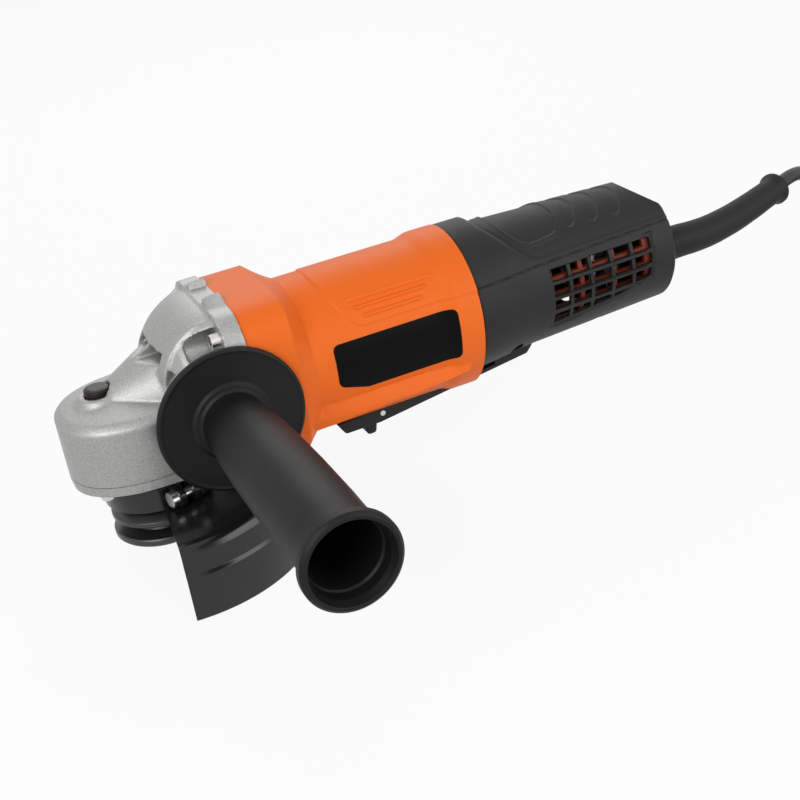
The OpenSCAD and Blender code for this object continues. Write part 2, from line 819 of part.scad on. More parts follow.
module rear_handle_upper() {
    color([0.16, 0.16, 0.17]) difference() {
        union() {
            intersection() {
                difference() {
                    handle_solid(0);
                    handle_solid(wall);
                }
                above_seam();
            }
            intersection() {
                handle_solid(1);
                above_seam();
                both_sides() for (p = handle_screws_at) post(axis_z, axis_z + beyond, boss_r, p);
            }
        }
        axle(handle_x - 1, handle_x + 10.2, stator_r + 1.75);
        both_sides() for (p = handle_screws_at)
            post(axis_z, axis_z + seam_at(p[0]) + handle_screw_grip + 0.3, handle_screw_r + 0.02, p);
        // finger grooves across the top
        for (i = [0:3]) translate([handle_x + groove_x + groove_step * i, 0, axis_z]) rotate([0, 90, 0])
            rotate_extrude() translate([groove_ring - i * groove_fall, 0]) circle(r = groove_r, $fn = 24);
    }
}

module handle_screws() {
    color("gainsboro") both_sides() for (p = handle_screws_at) {
        post(axis_z + screw_head_z, axis_z + seam_at(p[0]) + handle_screw_grip, handle_screw_r, p);
        post(axis_z + screw_head_z - 2.2, axis_z + screw_head_z, 2.9, p);
    }
}

module inlet_louvres() {
    low = vent_top + 1 - vent_rows * vent_pitch;
    color("orangered") difference() {
        intersection() {
            handle_solid(wall + 0.05);
            both_sides() slab_y_at(12, 40) polygon([[vent_x - 2, vent_top + 1], [vent_x + 53, vent_top + 1],
                [vent_x + 53, -8], [vent_x + 42, low], [vent_x - 2, low]]);
        }
        handle_solid(wall + 2.2);
        both_sides() slab_y_at(11, 41) for (row = [1:vent_rows], k = [0:2])
            translate([vent_x + 1 + 17 * k, vent_top + 1.6 - row * vent_pitch]) square([15, vent_h - 1.6]);
    }
}

// ---------------------------------------------------------------- switch and paddle

switch_x = 160;
switch_len = 27;
switch_half = 8.5;
switch_low = -19.5;
switch_high = 3;
plunger_x = 168;
plunger_r = 2.5;
plunger_low = -24.2;
plunger_travel = 1.5;
paddle_pin_z = -23.5;
paddle_end_x = 177.5;
clamp_x = handle_end_x - 25;
nose_low = -40;
paddle_top = -33.9;

module switch_body() {
    color([0.2, 0.2, 0.22]) difference() {
        box([switch_x, -switch_half, axis_z + switch_low],
            [switch_x + switch_len, switch_half, axis_z + switch_high]);
        post(axis_z + switch_low - 1, axis_z + switch_low + 6, plunger_r + run, [plunger_x, 0]);
    }
}

module switch_plunger() {
    top = switch_low - plunger_low + 4;
    color("red") translate([plunger_x, 0, axis_z + plunger_low]) rotate_extrude()
        polygon([[0, 0], [plunger_r - 0.9, 0], [plunger_r, 0.9], [plunger_r, top], [0, top]]);
}

module capacitor() {
    color("gold") box([switch_x + 3, -11.5, axis_z + switch_high + 0.05],
        [switch_x + 21, 11.5, axis_z + switch_high + 8.5]);
}

// Underside of the paddle at a place along it
paddle_bend_x = paddle_x + 20;
function paddle_low(x) = nose_low + max(0, x - paddle_bend_x) * 0.122;

module paddle_lever() {
    floor_t = 2;
    pin_z = axis_z + paddle_pin_z;
    step_x = paddle_end_x - 19.5;
    arm_low = paddle_pin_z - 2.8;
    color([0.16, 0.16, 0.17]) difference() {
        union() {
            slab_y(paddle_half) polygon([[paddle_x, paddle_top - 0.7], [paddle_x + 3.2, nose_low],
                [paddle_bend_x, nose_low], [paddle_end_x - 3, paddle_low(paddle_end_x - 3)],
                [paddle_end_x, paddle_low(paddle_end_x) + 3], [paddle_end_x, arm_low], [step_x, arm_low],
                [step_x, paddle_top + 2.7], [step_x - 6, paddle_top + 2.1], [paddle_bend_x, paddle_top]]);
            // hinge arm
            slab_y(7.4) polygon([[paddle_end_x - 3.5, arm_low], [paddle_pin_x, arm_low],
                [paddle_pin_x, paddle_pin_z + 2.5], [paddle_end_x - 1.5, arm_low + 1.9],
                [paddle_end_x - 3.5, arm_low + 1.5]]);
            cross(paddle_pin_x, pin_z, -7.4, 7.4, 2.8);
            // pad under the switch plunger
            box([plunger_x - 1.5, -3, axis_z - 27], [plunger_x + 1.5, 3, axis_z + plunger_low - 0.1]);
        }
        // hollow inside
        slab_y(paddle_half - 2) polygon([[paddle_x + 2.6, paddle_top + 4], [paddle_x + 5, nose_low + floor_t],
            [paddle_bend_x + 0.2, nose_low + floor_t], [step_x - 4, paddle_low(step_x - 4) + floor_t],
            [step_x - 4, arm_low], [paddle_bend_x, arm_low]]);
        cross(paddle_pin_x, pin_z, -9, 9, paddle_pin_r + run);
        // slot and pin holes of the lock-off lever
        box([lock_x - 11.5, -5.6, axis_z + nose_low - 5], [lock_x + 4, 5.6, axis_z + lock_z + 1]);
        cross(lock_x, axis_z + lock_z, -20, 20, lock_off_r + 0.02);
    }
}

lock_x = paddle_bend_x + 1.5;
lock_z = -36;
lock_off_r = 1.2;

module lock_off_pin() {
    color("gainsboro") cross(lock_x, axis_z + lock_z, -paddle_half - 0.2, paddle_half + 0.2, lock_off_r);
}

module lock_off_lever() {
    color([0.13, 0.13, 0.14]) difference() {
        slab_y(5) translate([lock_x, lock_z]) polygon(concat([[-2.3, 1.8], [-5.9, -3], [-5.7, -7.4]],
            arc([-2.9, -10.6], 2, 190, 350, 6), [[0.1, -4.5], [2.1, -2.2]], arc([0, 0], 2.3, -20, 120, 6)));
        cross(lock_x, axis_z + lock_z, -9, 9, lock_off_r + run);
    }
}

module paddle_pin() {
    color("gainsboro") cross(paddle_pin_x, axis_z + paddle_pin_z, -10.9, 10.9, paddle_pin_r);
}

module cord_clamp() {
    color([0.2, 0.2, 0.22]) difference() {
        box([clamp_x - 4, -12.5, axis_z + cord_exit_z - 1.5],
            [clamp_x + 4, 12.5, axis_z + cord_exit_z + lead_r + 2.5]);
        translate([0, 0, cord_exit_z]) axle(clamp_x - 6, clamp_x + 6, lead_r + 0.02);
        for (y = [-9, 9]) post(axis_z - 20, axis_z + 10, 1.5, [clamp_x, y]);
    }
}

module cord_clamp_screws() {
    head_z = axis_z + cord_exit_z + lead_r + 2.5;
    color("gainsboro") for (y = [-9, 9]) {
        post(axis_z - 21.5, head_z, 1.2, [clamp_x, y]);
        post(head_z, head_z + 2, 2.6, [clamp_x, y]);
    }
}

// ---------------------------------------------------------------- lead

function unit(v) = v / norm(v);
function tangent(pts, i) = unit(pts[min(i + 1, len(pts) - 1)] - pts[max(i - 1, 0)]);
function across(a, b) = [a[1] * b[2] - a[2] * b[1], a[2] * b[0] - a[0] * b[2], a[0] * b[1] - a[1] * b[0]];
function ring(p, t, r, n) = let (s = unit(across(t, [0, 0, 1])), u = across(s, t))
    [for (k = [0:n - 1]) p + r * cos(360 * k / n) * s + r * sin(360 * k / n) * u];

// Tube through points, each with its own radius
module sweep(pts, radii, n = 10) {
    m = len(pts);
    rings = [for (i = [0:m - 1]) ring(pts[i], tangent(pts, i), radii[i], n)];
    faces = concat(
        [for (k = [1:n - 2]) [0, k, k + 1]],
        [for (k = [1:n - 2]) [(m - 1) * n, (m - 1) * n + k + 1, (m - 1) * n + k]],
        [for (i = [0:m - 2], k = [0:n - 1]) [i * n + k, (i + 1) * n + k, (i + 1) * n + (k + 1) % n]],
        [for (i = [0:m - 2], k = [0:n - 1]) [i * n + k, (i + 1) * n + (k + 1) % n, i * n + (k + 1) % n]]);
    polyhedron([for (r = rings) for (p = r) p], faces, convexity = 6);
}

// Middle line of the lead guard: a gentle bend from the handle to its mouth
boot_line = [
    [248.4, 0, 42], [253.5, 0, 42], [258.6, 0, 42], [263.8, 0, 42], [269, 0, 42],
    [273.7, 0.1, 41.7], [278.5, 0.3, 41.6], [283.3, 0.7, 41.6], [288, 1.2, 41.8],
    [292.8, 1.9, 42.2], [297.7, 2.7, 42.6], [302.5, 3.6, 43.1], [307.3, 4.7, 43.7], [312.1, 5.9, 44.3],
    [317, 7.3, 44.8], [321.8, 8.8, 45.4], [326.5, 10.4, 45.8], [331.3, 12.1, 46.2], lead_out,
];

// Hollow tube through points, each with its own outer radius
module sweep_tube(pts, radii, bore, n = 20) {
    m = len(pts);
    outer = [for (i = [0:m - 1]) ring(pts[i], tangent(pts, i), radii[i], n)];
    inner = [for (i = [0:m - 1]) ring(pts[i], tangent(pts, i), bore, n)];
    last = (m - 1) * n;
    far = m * n;
    faces = [for (i = [0:m - 2], k = [0:n - 1]) let (j = (k + 1) % n) each [
            [i * n + k, (i + 1) * n + k, (i + 1) * n + j], [i * n + k, (i + 1) * n + j, i * n + j],
            [far + i * n + k, far + (i + 1) * n + j, far + (i + 1) * n + k],
            [far + i * n + k, far + i * n + j, far + (i + 1) * n + j]]];
    ends = [for (k = [0:n - 1]) let (j = (k + 1) % n) each [
            [k, j, far + j], [k, far + j, far + k],
            [last + j, last + k, far + last + k], [last + j, far + last + k, far + last + j]]];
    polyhedron([for (r = concat(outer, inner)) for (p = r) p], concat(faces, ends), convexity = 6);
}

// The root sits in the shell's groove; the sleeve tapers and ends in a lip
module cord_guard() {
    start = boot_line[0];
    last = len(boot_line) - 1;
    root = [boot_flange_x - 2.8, boot_flange_x + 1.25, boot_flange_x + 1.3, start[0] - 0.05];
    pts = concat([for (x = root) [x, 0, start[2]]], boot_line);
    radii = concat([boot_r + 1.2, boot_r + 1.2, boot_neck_r, boot_neck_r],
        [for (i = [0:last]) i >= last - 1 ? boot_r - 0.2 : boot_r - 2.2 * i / last]);
    color([0.1, 0.1, 0.1]) sweep_tube(pts, radii, lead_r + 0.1);
}

module power_cord() {
    route = concat([[clamp_x - 6, 0, axis_z + cord_exit_z]], boot_line, lead_path);
    color([0.08, 0.08, 0.08]) sweep(route, [for (p = route) lead_r], 10);
}

module cord_end() {
    color([0.08, 0.08, 0.08]) sweep(plug_route, [for (p = plug_route) lead_r], 8);
}

module cord_coil() {
    color([0.08, 0.08, 0.08]) translate([coil_centre[0], coil_centre[1], floor_z + coil_gap]) rotate_extrude()
        translate([coil_r - coil_half, 0]) square([2 * coil_half, 2 * lead_d]);
}

module cord_tie() {
    middle = [coil_centre[0] + coil_r, coil_centre[1], floor_z];
    top = 2 * lead_d + coil_gap;
    color([0.15, 0.15, 0.15]) difference() {
        box(middle - [coil_half + 1.3, 4, 0], middle + [coil_half + 1.2, 4, top + coil_gap]);
        box(middle - [coil_half + 0.5, 7, -coil_gap], middle + [coil_half + 0.4, 7, top]);
    }
}

module plug_body() {
    color([0.08, 0.08, 0.08]) {
        hull() {
            translate([plug_x - plug_len, plug_y - 15, plug_z - 7.4]) cube([2, 30, 14.8]);
            translate([plug_x - plug_len + 15, plug_y - 15, plug_z - 7.4]) cube([2, 30, 14.8]);
            translate([plug_x - 14, plug_y, plug_z]) rotate([0, 90, 0]) cylinder(h = 1, r = 6, $fn = 32);
        }
        translate([plug_x - 14, plug_y, plug_z]) rotate([0, 90, 0]) cylinder(h = 14, r1 = 6, r2 = 4.4);
    }
}

module plug_pins() {
    color("goldenrod") for (s = [-1, 1])
        translate([plug_x - plug_len - pin_len, plug_y + s * pin_spacing / 2, plug_z]) rotate([0, 90, 0])
            cylinder(h = pin_len, r = pin_r);
}

// ---------------------------------------------------------------- armature

module armature_shaft() {
    color("lightgray") {
        axle(nut_x, front_bearing_x, pinion_bore_r);
        axle(front_bearing_x, fan_x, 6);
        axle(fan_x, core_end_x + 9, 6.5);
        axle(core_end_x + 9, comm_x + comm_len + 1, 5);
        axle(comm_x + comm_len + 1, rear_bearing_x + rear_bearing_w, 4);
    }
}

armature_slots = 12;
slot_ring_r = armature_r - 3.2;
slot_bar_r = 1.7;

module armature_core() {
    color("slategray") difference() {
        axle_tube(core_x, core_end_x, armature_r, 6.5);
        for (a = [0:360 / armature_slots:359])
            translate([0, 0, axis_z]) rotate([a, 0, 0]) translate([0, 0, slot_ring_r]) {
                translate([core_x - 1, 0, 0]) rotate([0, 90, 0])
                    cylinder(h = core_len + 2, r = slot_bar_r + run);
                translate([core_x - 1, -0.6, 0]) cube([core_len + 2, 1.2, 6]);
            }
    }
}

module armature_windings() {
    color("chocolate") {
        for (x = [core_x - 7, core_end_x + 0.05])
            axle_tube(x, x + 6.95, armature_r - 1.2, 6.55);
        for (a = [0:360 / armature_slots:359])
            translate([core_x - 1, 0, axis_z]) rotate([a, 0, 0]) translate([0, 0, slot_ring_r])
                rotate([0, 90, 0]) cylinder(h = core_len + 2, r = slot_bar_r);
    }
}

module commutator() {
    color("peru") difference() {
        axle_tube(comm_x, comm_x + comm_len, comm_r, 5.02);
        for (a = [0:15:359])
            translate([comm_x - 1, 0, axis_z]) rotate([a, 0, 0])
                translate([0, -0.2, comm_r - 0.8]) cube([comm_len + 2, 0.4, 2]);
    }
}

module fan() {
    color("ivory") difference() {
        union() {
            axle(fan_x + fan_w - 2, fan_x + fan_w, fan_r);
            axle(fan_x, fan_x + fan_w - 1, 10);
            for (a = [0:360 / fan_blades:359])
                translate([fan_x + 1, 0, axis_z]) rotate([a, 0, 0]) translate([0, -0.8, 9.5])
                    cube([fan_w - 1.5, 1.6, fan_r - 10.5]);
        }
        axle(fan_x - 1, fan_x + fan_w + 1, 6.52);
    }
}

pinion_big_x = crown_r + 0.4;
pinion_small_x = crown_ring_in - 0.4;

// Outline of the pinion at its large end: straight-sided teeth with backlash
function pinion_outline() = let (
        pitch_r = pinion_big_x * pitch_drop,
        tip = pitch_r + tooth_add,
        root = pitch_r - tooth_ded,
        step = 360 / pinion_teeth
    ) [for (i = [0:pinion_teeth - 1], k = [0:3])
        let (a = i * step + [-8.4, -3.2, 3.2, 8.4][k], r = [root, tip, tip, root][k])
            [r * cos(a), r * sin(a)]];

module pinion() {
    // one tooth points straight down, into a gap of the crown gear
    color("gray") difference() {
        union() {
            translate([pinion_big_x, 0, axis_z]) rotate([0, -90, 0]) rotate([0, 0, 180])
                linear_extrude(pinion_big_x - pinion_small_x, scale = pinion_small_x / pinion_big_x)
                    polygon(pinion_outline());
            axle(pinion_big_x - 0.01, front_bearing_x - 0.2, 7);
        }
        axle(nut_x - 2, front_bearing_x, pinion_bore_r + 0.02);
    }
}

module pinion_nut() {
    color("gray") difference() {
        translate([nut_x, 0, axis_z]) rotate([0, 90, 0])
            cylinder(h = crown_ring_in - 1.3 - nut_x, r = 5.6, $fn = 6);
        axle(nut_x - 2, pinion_big_x, pinion_bore_r + 0.02);
    }
}

// ---------------------------------------------------------------- spindle

module spindle() {
    color("lightgray") {
        post(-8.4, 0.5, spindle_r);
        post(0, neck_bottom + 0.2, spindle_r + 0.3);
        post(neck_bottom + 0.2, bearing_z, collar_shaft_r);
        post(bearing_z - 0.5, crown_web_top + 4, spindle_journal_r);
        post(crown_web_top + 3, axis_z + 7.5, spindle_top_r);
    }
}

module crown_gear() {
    tip_in = axis_z - crown_ring_in * pitch_drop + tooth_add * crown_ring_in / crown_r;
    tip_out = axis_z - crown_r * pitch_drop + tooth_add;
    tilt = atan(pitch_drop + tooth_ded / crown_r);
    hub_bore = spindle_journal_r + 0.02;
    color("gray") difference() {
        rotate_extrude() polygon([[hub_bore, crown_hub_bottom], [10, crown_hub_bottom], [11, 33],
            [crown_r - 1.5, 34], [crown_r + 0.2, 36], [crown_r + 0.2, tip_out], [crown_ring_in - 0.4, tip_in],
            [crown_ring_in - 0.4, crown_web_top], [hub_bore, crown_web_top]]);
        for (i = [0:lock_holes - 1])
            rotate([0, 0, i * 360 / lock_holes]) post(32, crown_web_top + 1, lock_hole_r, [button_x, 0]);
        // tooth gaps, cut down to the root cone
        for (i = [0:crown_teeth - 1])
            rotate([0, 0, i * 360 / crown_teeth]) translate([0, 0, axis_z]) rotate([0, tilt, 0])
                translate([crown_ring_in - 2, 0, 0]) rotate([90, 0, 90]) linear_extrude(tooth_len + 6)
                    polygon([[-0.7, 0], [-1.75, 3.2], [1.75, 3.2], [0.7, 0]]);
    }
}

module gear_ring() {
    color("lightgray") difference() {
        post(crown_web_top + 0.02, crown_web_top + 1.2, spindle_journal_r + 2.2);
        post(crown_web_top - 1, crown_web_top + 2, spindle_journal_r + 0.02);
        box([-1.5, 0, crown_web_top - 1], [1.5, 12, crown_web_top + 2]);
    }
}

module inner_flange() {
    bore = spindle_r + 0.32;
    top = neck_bottom + 0.15;
    color([0.2, 0.2, 0.2]) rotate_extrude() polygon([[bore, -pilot_h], [pilot_r, -pilot_h], [pilot_r, 0],
        [flange_r - 0.6, 0], [flange_r, 0.6], [flange_r, 2.4], [flange_r - 3, 4.6], [14, 6], [12.5, 8.2],
        [9, 8.2], [9, top], [bore, top]]);
}

module lock_nut() {
    rim_top = -pilot_h - 2.9;
    nut_top = -pilot_h - 0.05;
    color([0.2, 0.2, 0.2]) difference() {
        rotate_extrude() polygon([[spindle_r + run, rim_top - nut_h], [nut_r - 0.8, rim_top - nut_h],
            [nut_r, rim_top - nut_h + 0.8], [nut_r, rim_top - 0.4], [nut_r - 0.4, rim_top], [13, rim_top],
            [12, nut_top], [spindle_r + run, nut_top]]);
        for (s = [-1, 1])
            post(rim_top - nut_h - 1, rim_top - nut_h + 3, spanner_r, [s * spanner_pcd / 2, 0]);
    }
}

module lock_button() {
    r = button_r;
    h = button_h;
    color([0.2, 0.18, 0.16]) {
        translate([-button_x, 0, button_top - h]) rotate_extrude()
            polygon([[0, 0], [r, 0], [r, h - 0.7], [r - 0.7, h], [0, h]]);
        post(crown_web_top + 1.5, button_top - 1, lock_pin_r, [-button_x, 0]);
    }
}

module lock_button_spring() {
    seat = button_top - button_h - button_travel - 0.8;
    color("silver") translate([-button_x, 0, seat]) spring_rings(button_travel + 0.8, 3.4, 0.35, 4);
}

// ---------------------------------------------------------------- guard

module guard() {
    r = guard_r;
    t = guard_t;
    hub = guard_hub_r;
    section = concat(
        [[hub, 10], [r - 6, 13]], arc([r - 4.2, 9.8], 3.2, 90, 0, 5),
        [[r - 1, 0.6], [r, -0.8], [r, -guard_drop], [r - t, -guard_drop], [r - t, -1.4], [r - 1 - t, 0]],
        arc([r - 4.2, 9.8], 3.2 - t, 0, 90, 4), [[r - 6, 13 - t], [hub, 10 - t]]);
    color([0.12, 0.12, 0.12]) rotate([0, 0, -guard_angle / 2])
        rotate_extrude(angle = guard_angle) polygon(section);
}

band_t = 2;
guard_hub_r = neck_r + run + band_t;
clamp_off = guard_hub_r + 4.4;        // place and size of the band's screw
clamp_z = 15;
clamp_r = 2;
band_low = 8.4;
band_high = 18.6;
ear_angle = -74;

// Clamping band with its two ears
module guard_band() {
    color([0.12, 0.12, 0.12]) difference() {
        union() {
            post(band_low, band_high, guard_hub_r);
            rotate([0, 0, ear_angle]) for (s = [-1, 1])
                box([neck_r + 1, s * 3.5 - 1.5, band_low + 2.4],
                    [guard_hub_r + 8.5, s * 3.5 + 1.5, band_high]);
        }
        post(band_low - 1, band_high + 1, neck_r + run);
        rotate([0, 0, ear_angle]) {
            box([neck_r - 3, -2, band_low - 1], [guard_hub_r + 3, 2, band_high + 1]);
            translate([clamp_off, 0, clamp_z]) rotate([90, 0, 0])
                cylinder(h = 20, r = clamp_r + 0.02, center = true);
        }
    }
}

// Turns what is made upwards about the clamp screw's axis
module on_clamp() {
    rotate([0, 0, ear_angle]) translate([clamp_off, 0, clamp_z]) rotate([90, 0, 0]) children();
}

module guard_clamp_screw() {
    color("gainsboro") on_clamp() {
        translate([0, 0, -8]) cylinder(h = 13, r = clamp_r);
        translate([0, 0, 5]) cylinder(h = 3, r = 3.4);
    }
}

module guard_clamp_nut() {
    color("gainsboro") on_clamp() difference() {
        translate([0, 0, -8]) cylinder(h = 3, r = 3.9, $fn = 6);
        translate([0, 0, -9]) cylinder(h = 5, r = clamp_r + 0.02);
    }
}

// ---------------------------------------------------------------- side handle

// Places a shape made upwards so that it runs out along -Y from the motor's middle plane
module on_side() {
    translate([side_x, 0, axis_z - side_drop]) rotate([90, 0, 0]) children();
}

stud_r = side_hole_r - run;
stud_head = side_seat + 17;
head_len = 5;
hollow_end = stud_head + head_len + 3;

module side_handle_grip() {
    g = grip_r;
    e = side_end;
    s = side_seat;
    color([0.09, 0.09, 0.09]) on_side() difference() {
        rotate_extrude() polygon([[0, s], [12.5, s], [12.5, s + 0.6], [disc_r - 0.6, s + 0.6],
            [disc_r, s + 1.2], [disc_r, s + 3], [disc_r - 0.5, s + 3.4], [14, s + 3.4],
            [12.6, s + 5], [12.2, s + 9], [12.8, s + 11], [g - 2.4, s + 15],
            [g - 1.2, s + 28], [g - 0.4, s + 46], [g, s + 68], [g, s + 95],
            [g - 0.4, e - 14], [g - 0.3, e - 6.5], [ring_r - 1, e - 5.4], [ring_r, e - 4], [ring_r, e - 1],
            [ring_r - 1, e], [ring_r - 3, e], [ring_r - 3.6, e - 2], [hollow_r + 0.9, e - 7.5],
            [hollow_r, e - 8.2], [hollow_r - 0.6, e - 60], [hollow_r - 2.4, hollow_end + 6],
            [10, hollow_end], [0, hollow_end]]);
        translate([0, 0, s - 1]) cylinder(h = stud_head - s + 1.5, r = stud_r + 0.02);
        translate([0, 0, stud_head]) cylinder(h = head_len + 4, r = 6.02);
    }
}

module side_handle_stud() {
    color("gainsboro") on_side() {
        translate([0, 0, side_seat - side_hole_len + 1.5])
            cylinder(h = stud_head - side_seat + side_hole_len - 1.5, r = stud_r);
        translate([0, 0, stud_head]) cylinder(h = head_len, r = 6);
    }
}

// ---------------------------------------------------------------- all sub-parts

gear_case();
gear_case_screws();
bearing_box();
bearing_box_screws();
spindle_bearing();
spindle_top_bush();
front_bearing();
rear_bearing();
motor_housing();
fan_baffle();
stator_core();
stator_windings();
brush_holders();
carbon_brushes();
brush_springs();
label_plates();
rear_handle_lower();
rear_handle_upper();
handle_screws();
inlet_louvres();
switch_body();
capacitor();
cord_clamp();
cord_clamp_screws();
cord_guard();
paddle_pin();
power_cord();
cord_coil();
cord_end();
cord_tie();
plug_body();
plug_pins();
armature_shaft();
armature_core();
armature_windings();
commutator();
fan();
pinion();
pinion_nut();
spindle();
crown_gear();
gear_ring();
inner_flange();
lock_nut();
lock_button();
lock_button_spring();
paddle_lever();
lock_off_pin();
lock_off_lever();
switch_plunger();
guard();
guard_band();
guard_clamp_screw();
guard_clamp_nut();
side_handle_grip();
side_handle_stud();
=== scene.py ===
"""Dresses the small angle grinder: studio, lead, castings, mouldings, grips and sheet parts.

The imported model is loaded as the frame. Each sub-assembly is a class that builds its own
pieces in metres, in the frame's axes, and rides them on the frame's bodies. Sizes are in mm
unless a comment says otherwise.
"""

from __future__ import annotations

import json
import logging
import math
from dataclasses import dataclass, field
from enum import Enum
from typing import Any, Callable, Iterable, Sequence

import bmesh
import bpy
import numpy as np
from mathutils import Matrix, Vector

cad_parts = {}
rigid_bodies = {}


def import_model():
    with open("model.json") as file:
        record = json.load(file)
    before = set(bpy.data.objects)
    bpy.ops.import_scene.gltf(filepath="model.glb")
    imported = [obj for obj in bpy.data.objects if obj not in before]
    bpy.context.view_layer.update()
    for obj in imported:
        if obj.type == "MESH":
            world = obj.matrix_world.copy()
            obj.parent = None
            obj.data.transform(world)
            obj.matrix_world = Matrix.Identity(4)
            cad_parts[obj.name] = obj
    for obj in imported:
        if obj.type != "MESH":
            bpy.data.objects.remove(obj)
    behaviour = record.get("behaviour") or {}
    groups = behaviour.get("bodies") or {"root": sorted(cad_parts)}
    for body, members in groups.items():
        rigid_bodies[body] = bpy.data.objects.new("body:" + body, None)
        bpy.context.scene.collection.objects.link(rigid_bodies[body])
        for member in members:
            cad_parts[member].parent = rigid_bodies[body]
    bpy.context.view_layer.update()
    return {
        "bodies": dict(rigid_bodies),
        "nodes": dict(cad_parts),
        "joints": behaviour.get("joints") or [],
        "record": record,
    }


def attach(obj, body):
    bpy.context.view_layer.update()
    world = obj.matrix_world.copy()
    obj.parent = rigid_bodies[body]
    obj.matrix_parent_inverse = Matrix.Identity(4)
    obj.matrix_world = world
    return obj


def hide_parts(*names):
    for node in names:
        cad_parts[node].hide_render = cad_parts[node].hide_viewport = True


LOG = logging.getLogger("grinder")
MM = 0.001
AXIS_Z = 50.0  # height of the motor axis above the disc seat
CREASE = 32.0  # angle past which an edge of most pieces stays sharp, in degrees
MERGE = 1e-7  # vertices closer than this, in m, become one
COAT_ROUGH = 0.15  # roughness of every clear coat
HANDLE_SCREWS = ((166.6, 21.0), (212.0, 14.0))  # x and distance from the middle
FLANGE_SCREW = 25.5  # flange screws along Y and Z, from the motor axis

Point = Sequence[float]
Socket = bpy.types.NodeSocket


# ---------------------------------------------------------------- nodes


def add(
    tree: bpy.types.NodeTree, kind: str, inputs: dict[str | int, Any] | None = None, **options: Any
) -> bpy.types.Node:
    """Adds a node to a tree, with its options set and its inputs filled.

    Args:
        tree: The tree.
        kind: Type of the node.
        inputs: By name or number, the socket that an input is fed from, or its value.
        options: Properties of the node.

    Returns:
        The node.
    """
    node = tree.nodes.new(kind)
    for name, value in options.items():
        setattr(node, name, value)
    for name, value in (inputs or {}).items():
        if isinstance(value, Socket):
            tree.links.new(value, node.inputs[name])
        else:
            node.inputs[name].default_value = value
    return node


def computed(
    tree: bpy.types.NodeTree, operation: str, *values: Socket | float, clamp: bool = False
) -> Socket:
    """Adds a math node.

    Args:
        tree: The tree.
        operation: What the node does.
        values: Its inputs in order.
        clamp: Whether the result is kept between 0 and 1.

    Returns:
        The result.
    """
    inputs = dict(enumerate(values))
    return add(tree, "ShaderNodeMath", inputs, operation=operation, use_clamp=clamp).outputs[0]


def blank(owner: bpy.types.Material | bpy.types.World) -> bpy.types.NodeTree:
    """Gives a material or world an empty node tree.

    Args:
        owner: The material or world.

    Returns:
        The tree.
    """
    owner.use_nodes = True
    owner.node_tree.nodes.clear()
    return owner.node_tree


def linked(name: str, data: bpy.types.ID) -> bpy.types.Object:
    """Puts data into the scene as an object.

    Args:
        name: Name of the object.
        data: Its mesh, curve, camera or lamp.

    Returns:
        The object.
    """
    obj = bpy.data.objects.new(name, data)
    bpy.context.scene.collection.objects.link(obj)
    return obj


# ---------------------------------------------------------------- finishes


class Relief(Enum):
    """How a surface is broken up at a small scale."""

    FINE = "fine"
    CAST = "cast"
    BRUSHED = "brushed"


@dataclass(frozen=True)
class Finish:
    """One finish: its colour and how it takes light.

    Attributes:
        name: Name of the material.
        colour: Base colour, linear RGB.
        rough: Mean roughness.
        metal: Metallic value.
        relief: Kind of small relief.
        grain: Size of the relief's grains.
        depth: Height of the relief.
        drift: How much the colour wanders over the surface.
        rough_drift: How much the roughness wanders.
        coat: Weight of the clear coat.
        shine: Strength of the reflection of a surface that isn't metal.
    """

    name: str
    colour: tuple[float, float, float]
    rough: float
    metal: float = 0.0
    relief: Relief = Relief.FINE
    grain: float = 0.5
    depth: float = 0.004
    drift: float = 0.10
    rough_drift: float = 0.10
    coat: float = 0.0
    shine: float = 0.5

    def build(self, groups: "ShaderGroups") -> bpy.types.Material:
        """Builds the material from the shared groups.

        Args:
            groups: The shader node groups.

        Returns:
            The finished material.
        """
        mat = bpy.data.materials.new(self.name)
        tree = blank(mat)
        where = add(tree, "ShaderNodeTexCoord").outputs["Object"]
        tone = add(
            tree,
            "ShaderNodeGroup",
            {
                "Vector": where,
                "Colour": (*self.colour, 1.0),
                "Drift": self.drift,
                "Roughness": self.rough,
                "Roughness Drift": self.rough_drift,
            },
            node_tree=groups.tone,
        )
        pattern = {"Vector": where, "Scale": 1.0 / MM / self.grain}
        grain = add(tree, "ShaderNodeGroup", pattern, node_tree=groups.relief[self.relief])
        height = {"Strength": 1.0, "Distance": self.depth * MM, "Height": grain.outputs["Height"]}
        bump = add(tree, "ShaderNodeBump", height)
        colour = tone.outputs["Colour"]
        if self.relief is Relief.CAST:
            shades = {"Factor": 1.0, 6: colour, 7: grain.outputs["Shade"]}
            mix = add(tree, "ShaderNodeMix", shades, data_type="RGBA", blend_type="MULTIPLY")
            colour = mix.outputs[2]
        shader = add(
            tree,
            "ShaderNodeBsdfPrincipled",
            {
                "Base Color": colour,
                "Metallic": self.metal,
                "Roughness": tone.outputs["Roughness"],
                "Specular IOR Level": self.shine,
                "Coat Weight": self.coat,
                "Coat Roughness": COAT_ROUGH,
                "Normal": bump.outputs[0],
            },
        )
        add(tree, "ShaderNodeOutputMaterial", {0: shader.outputs[0]})
        return mat


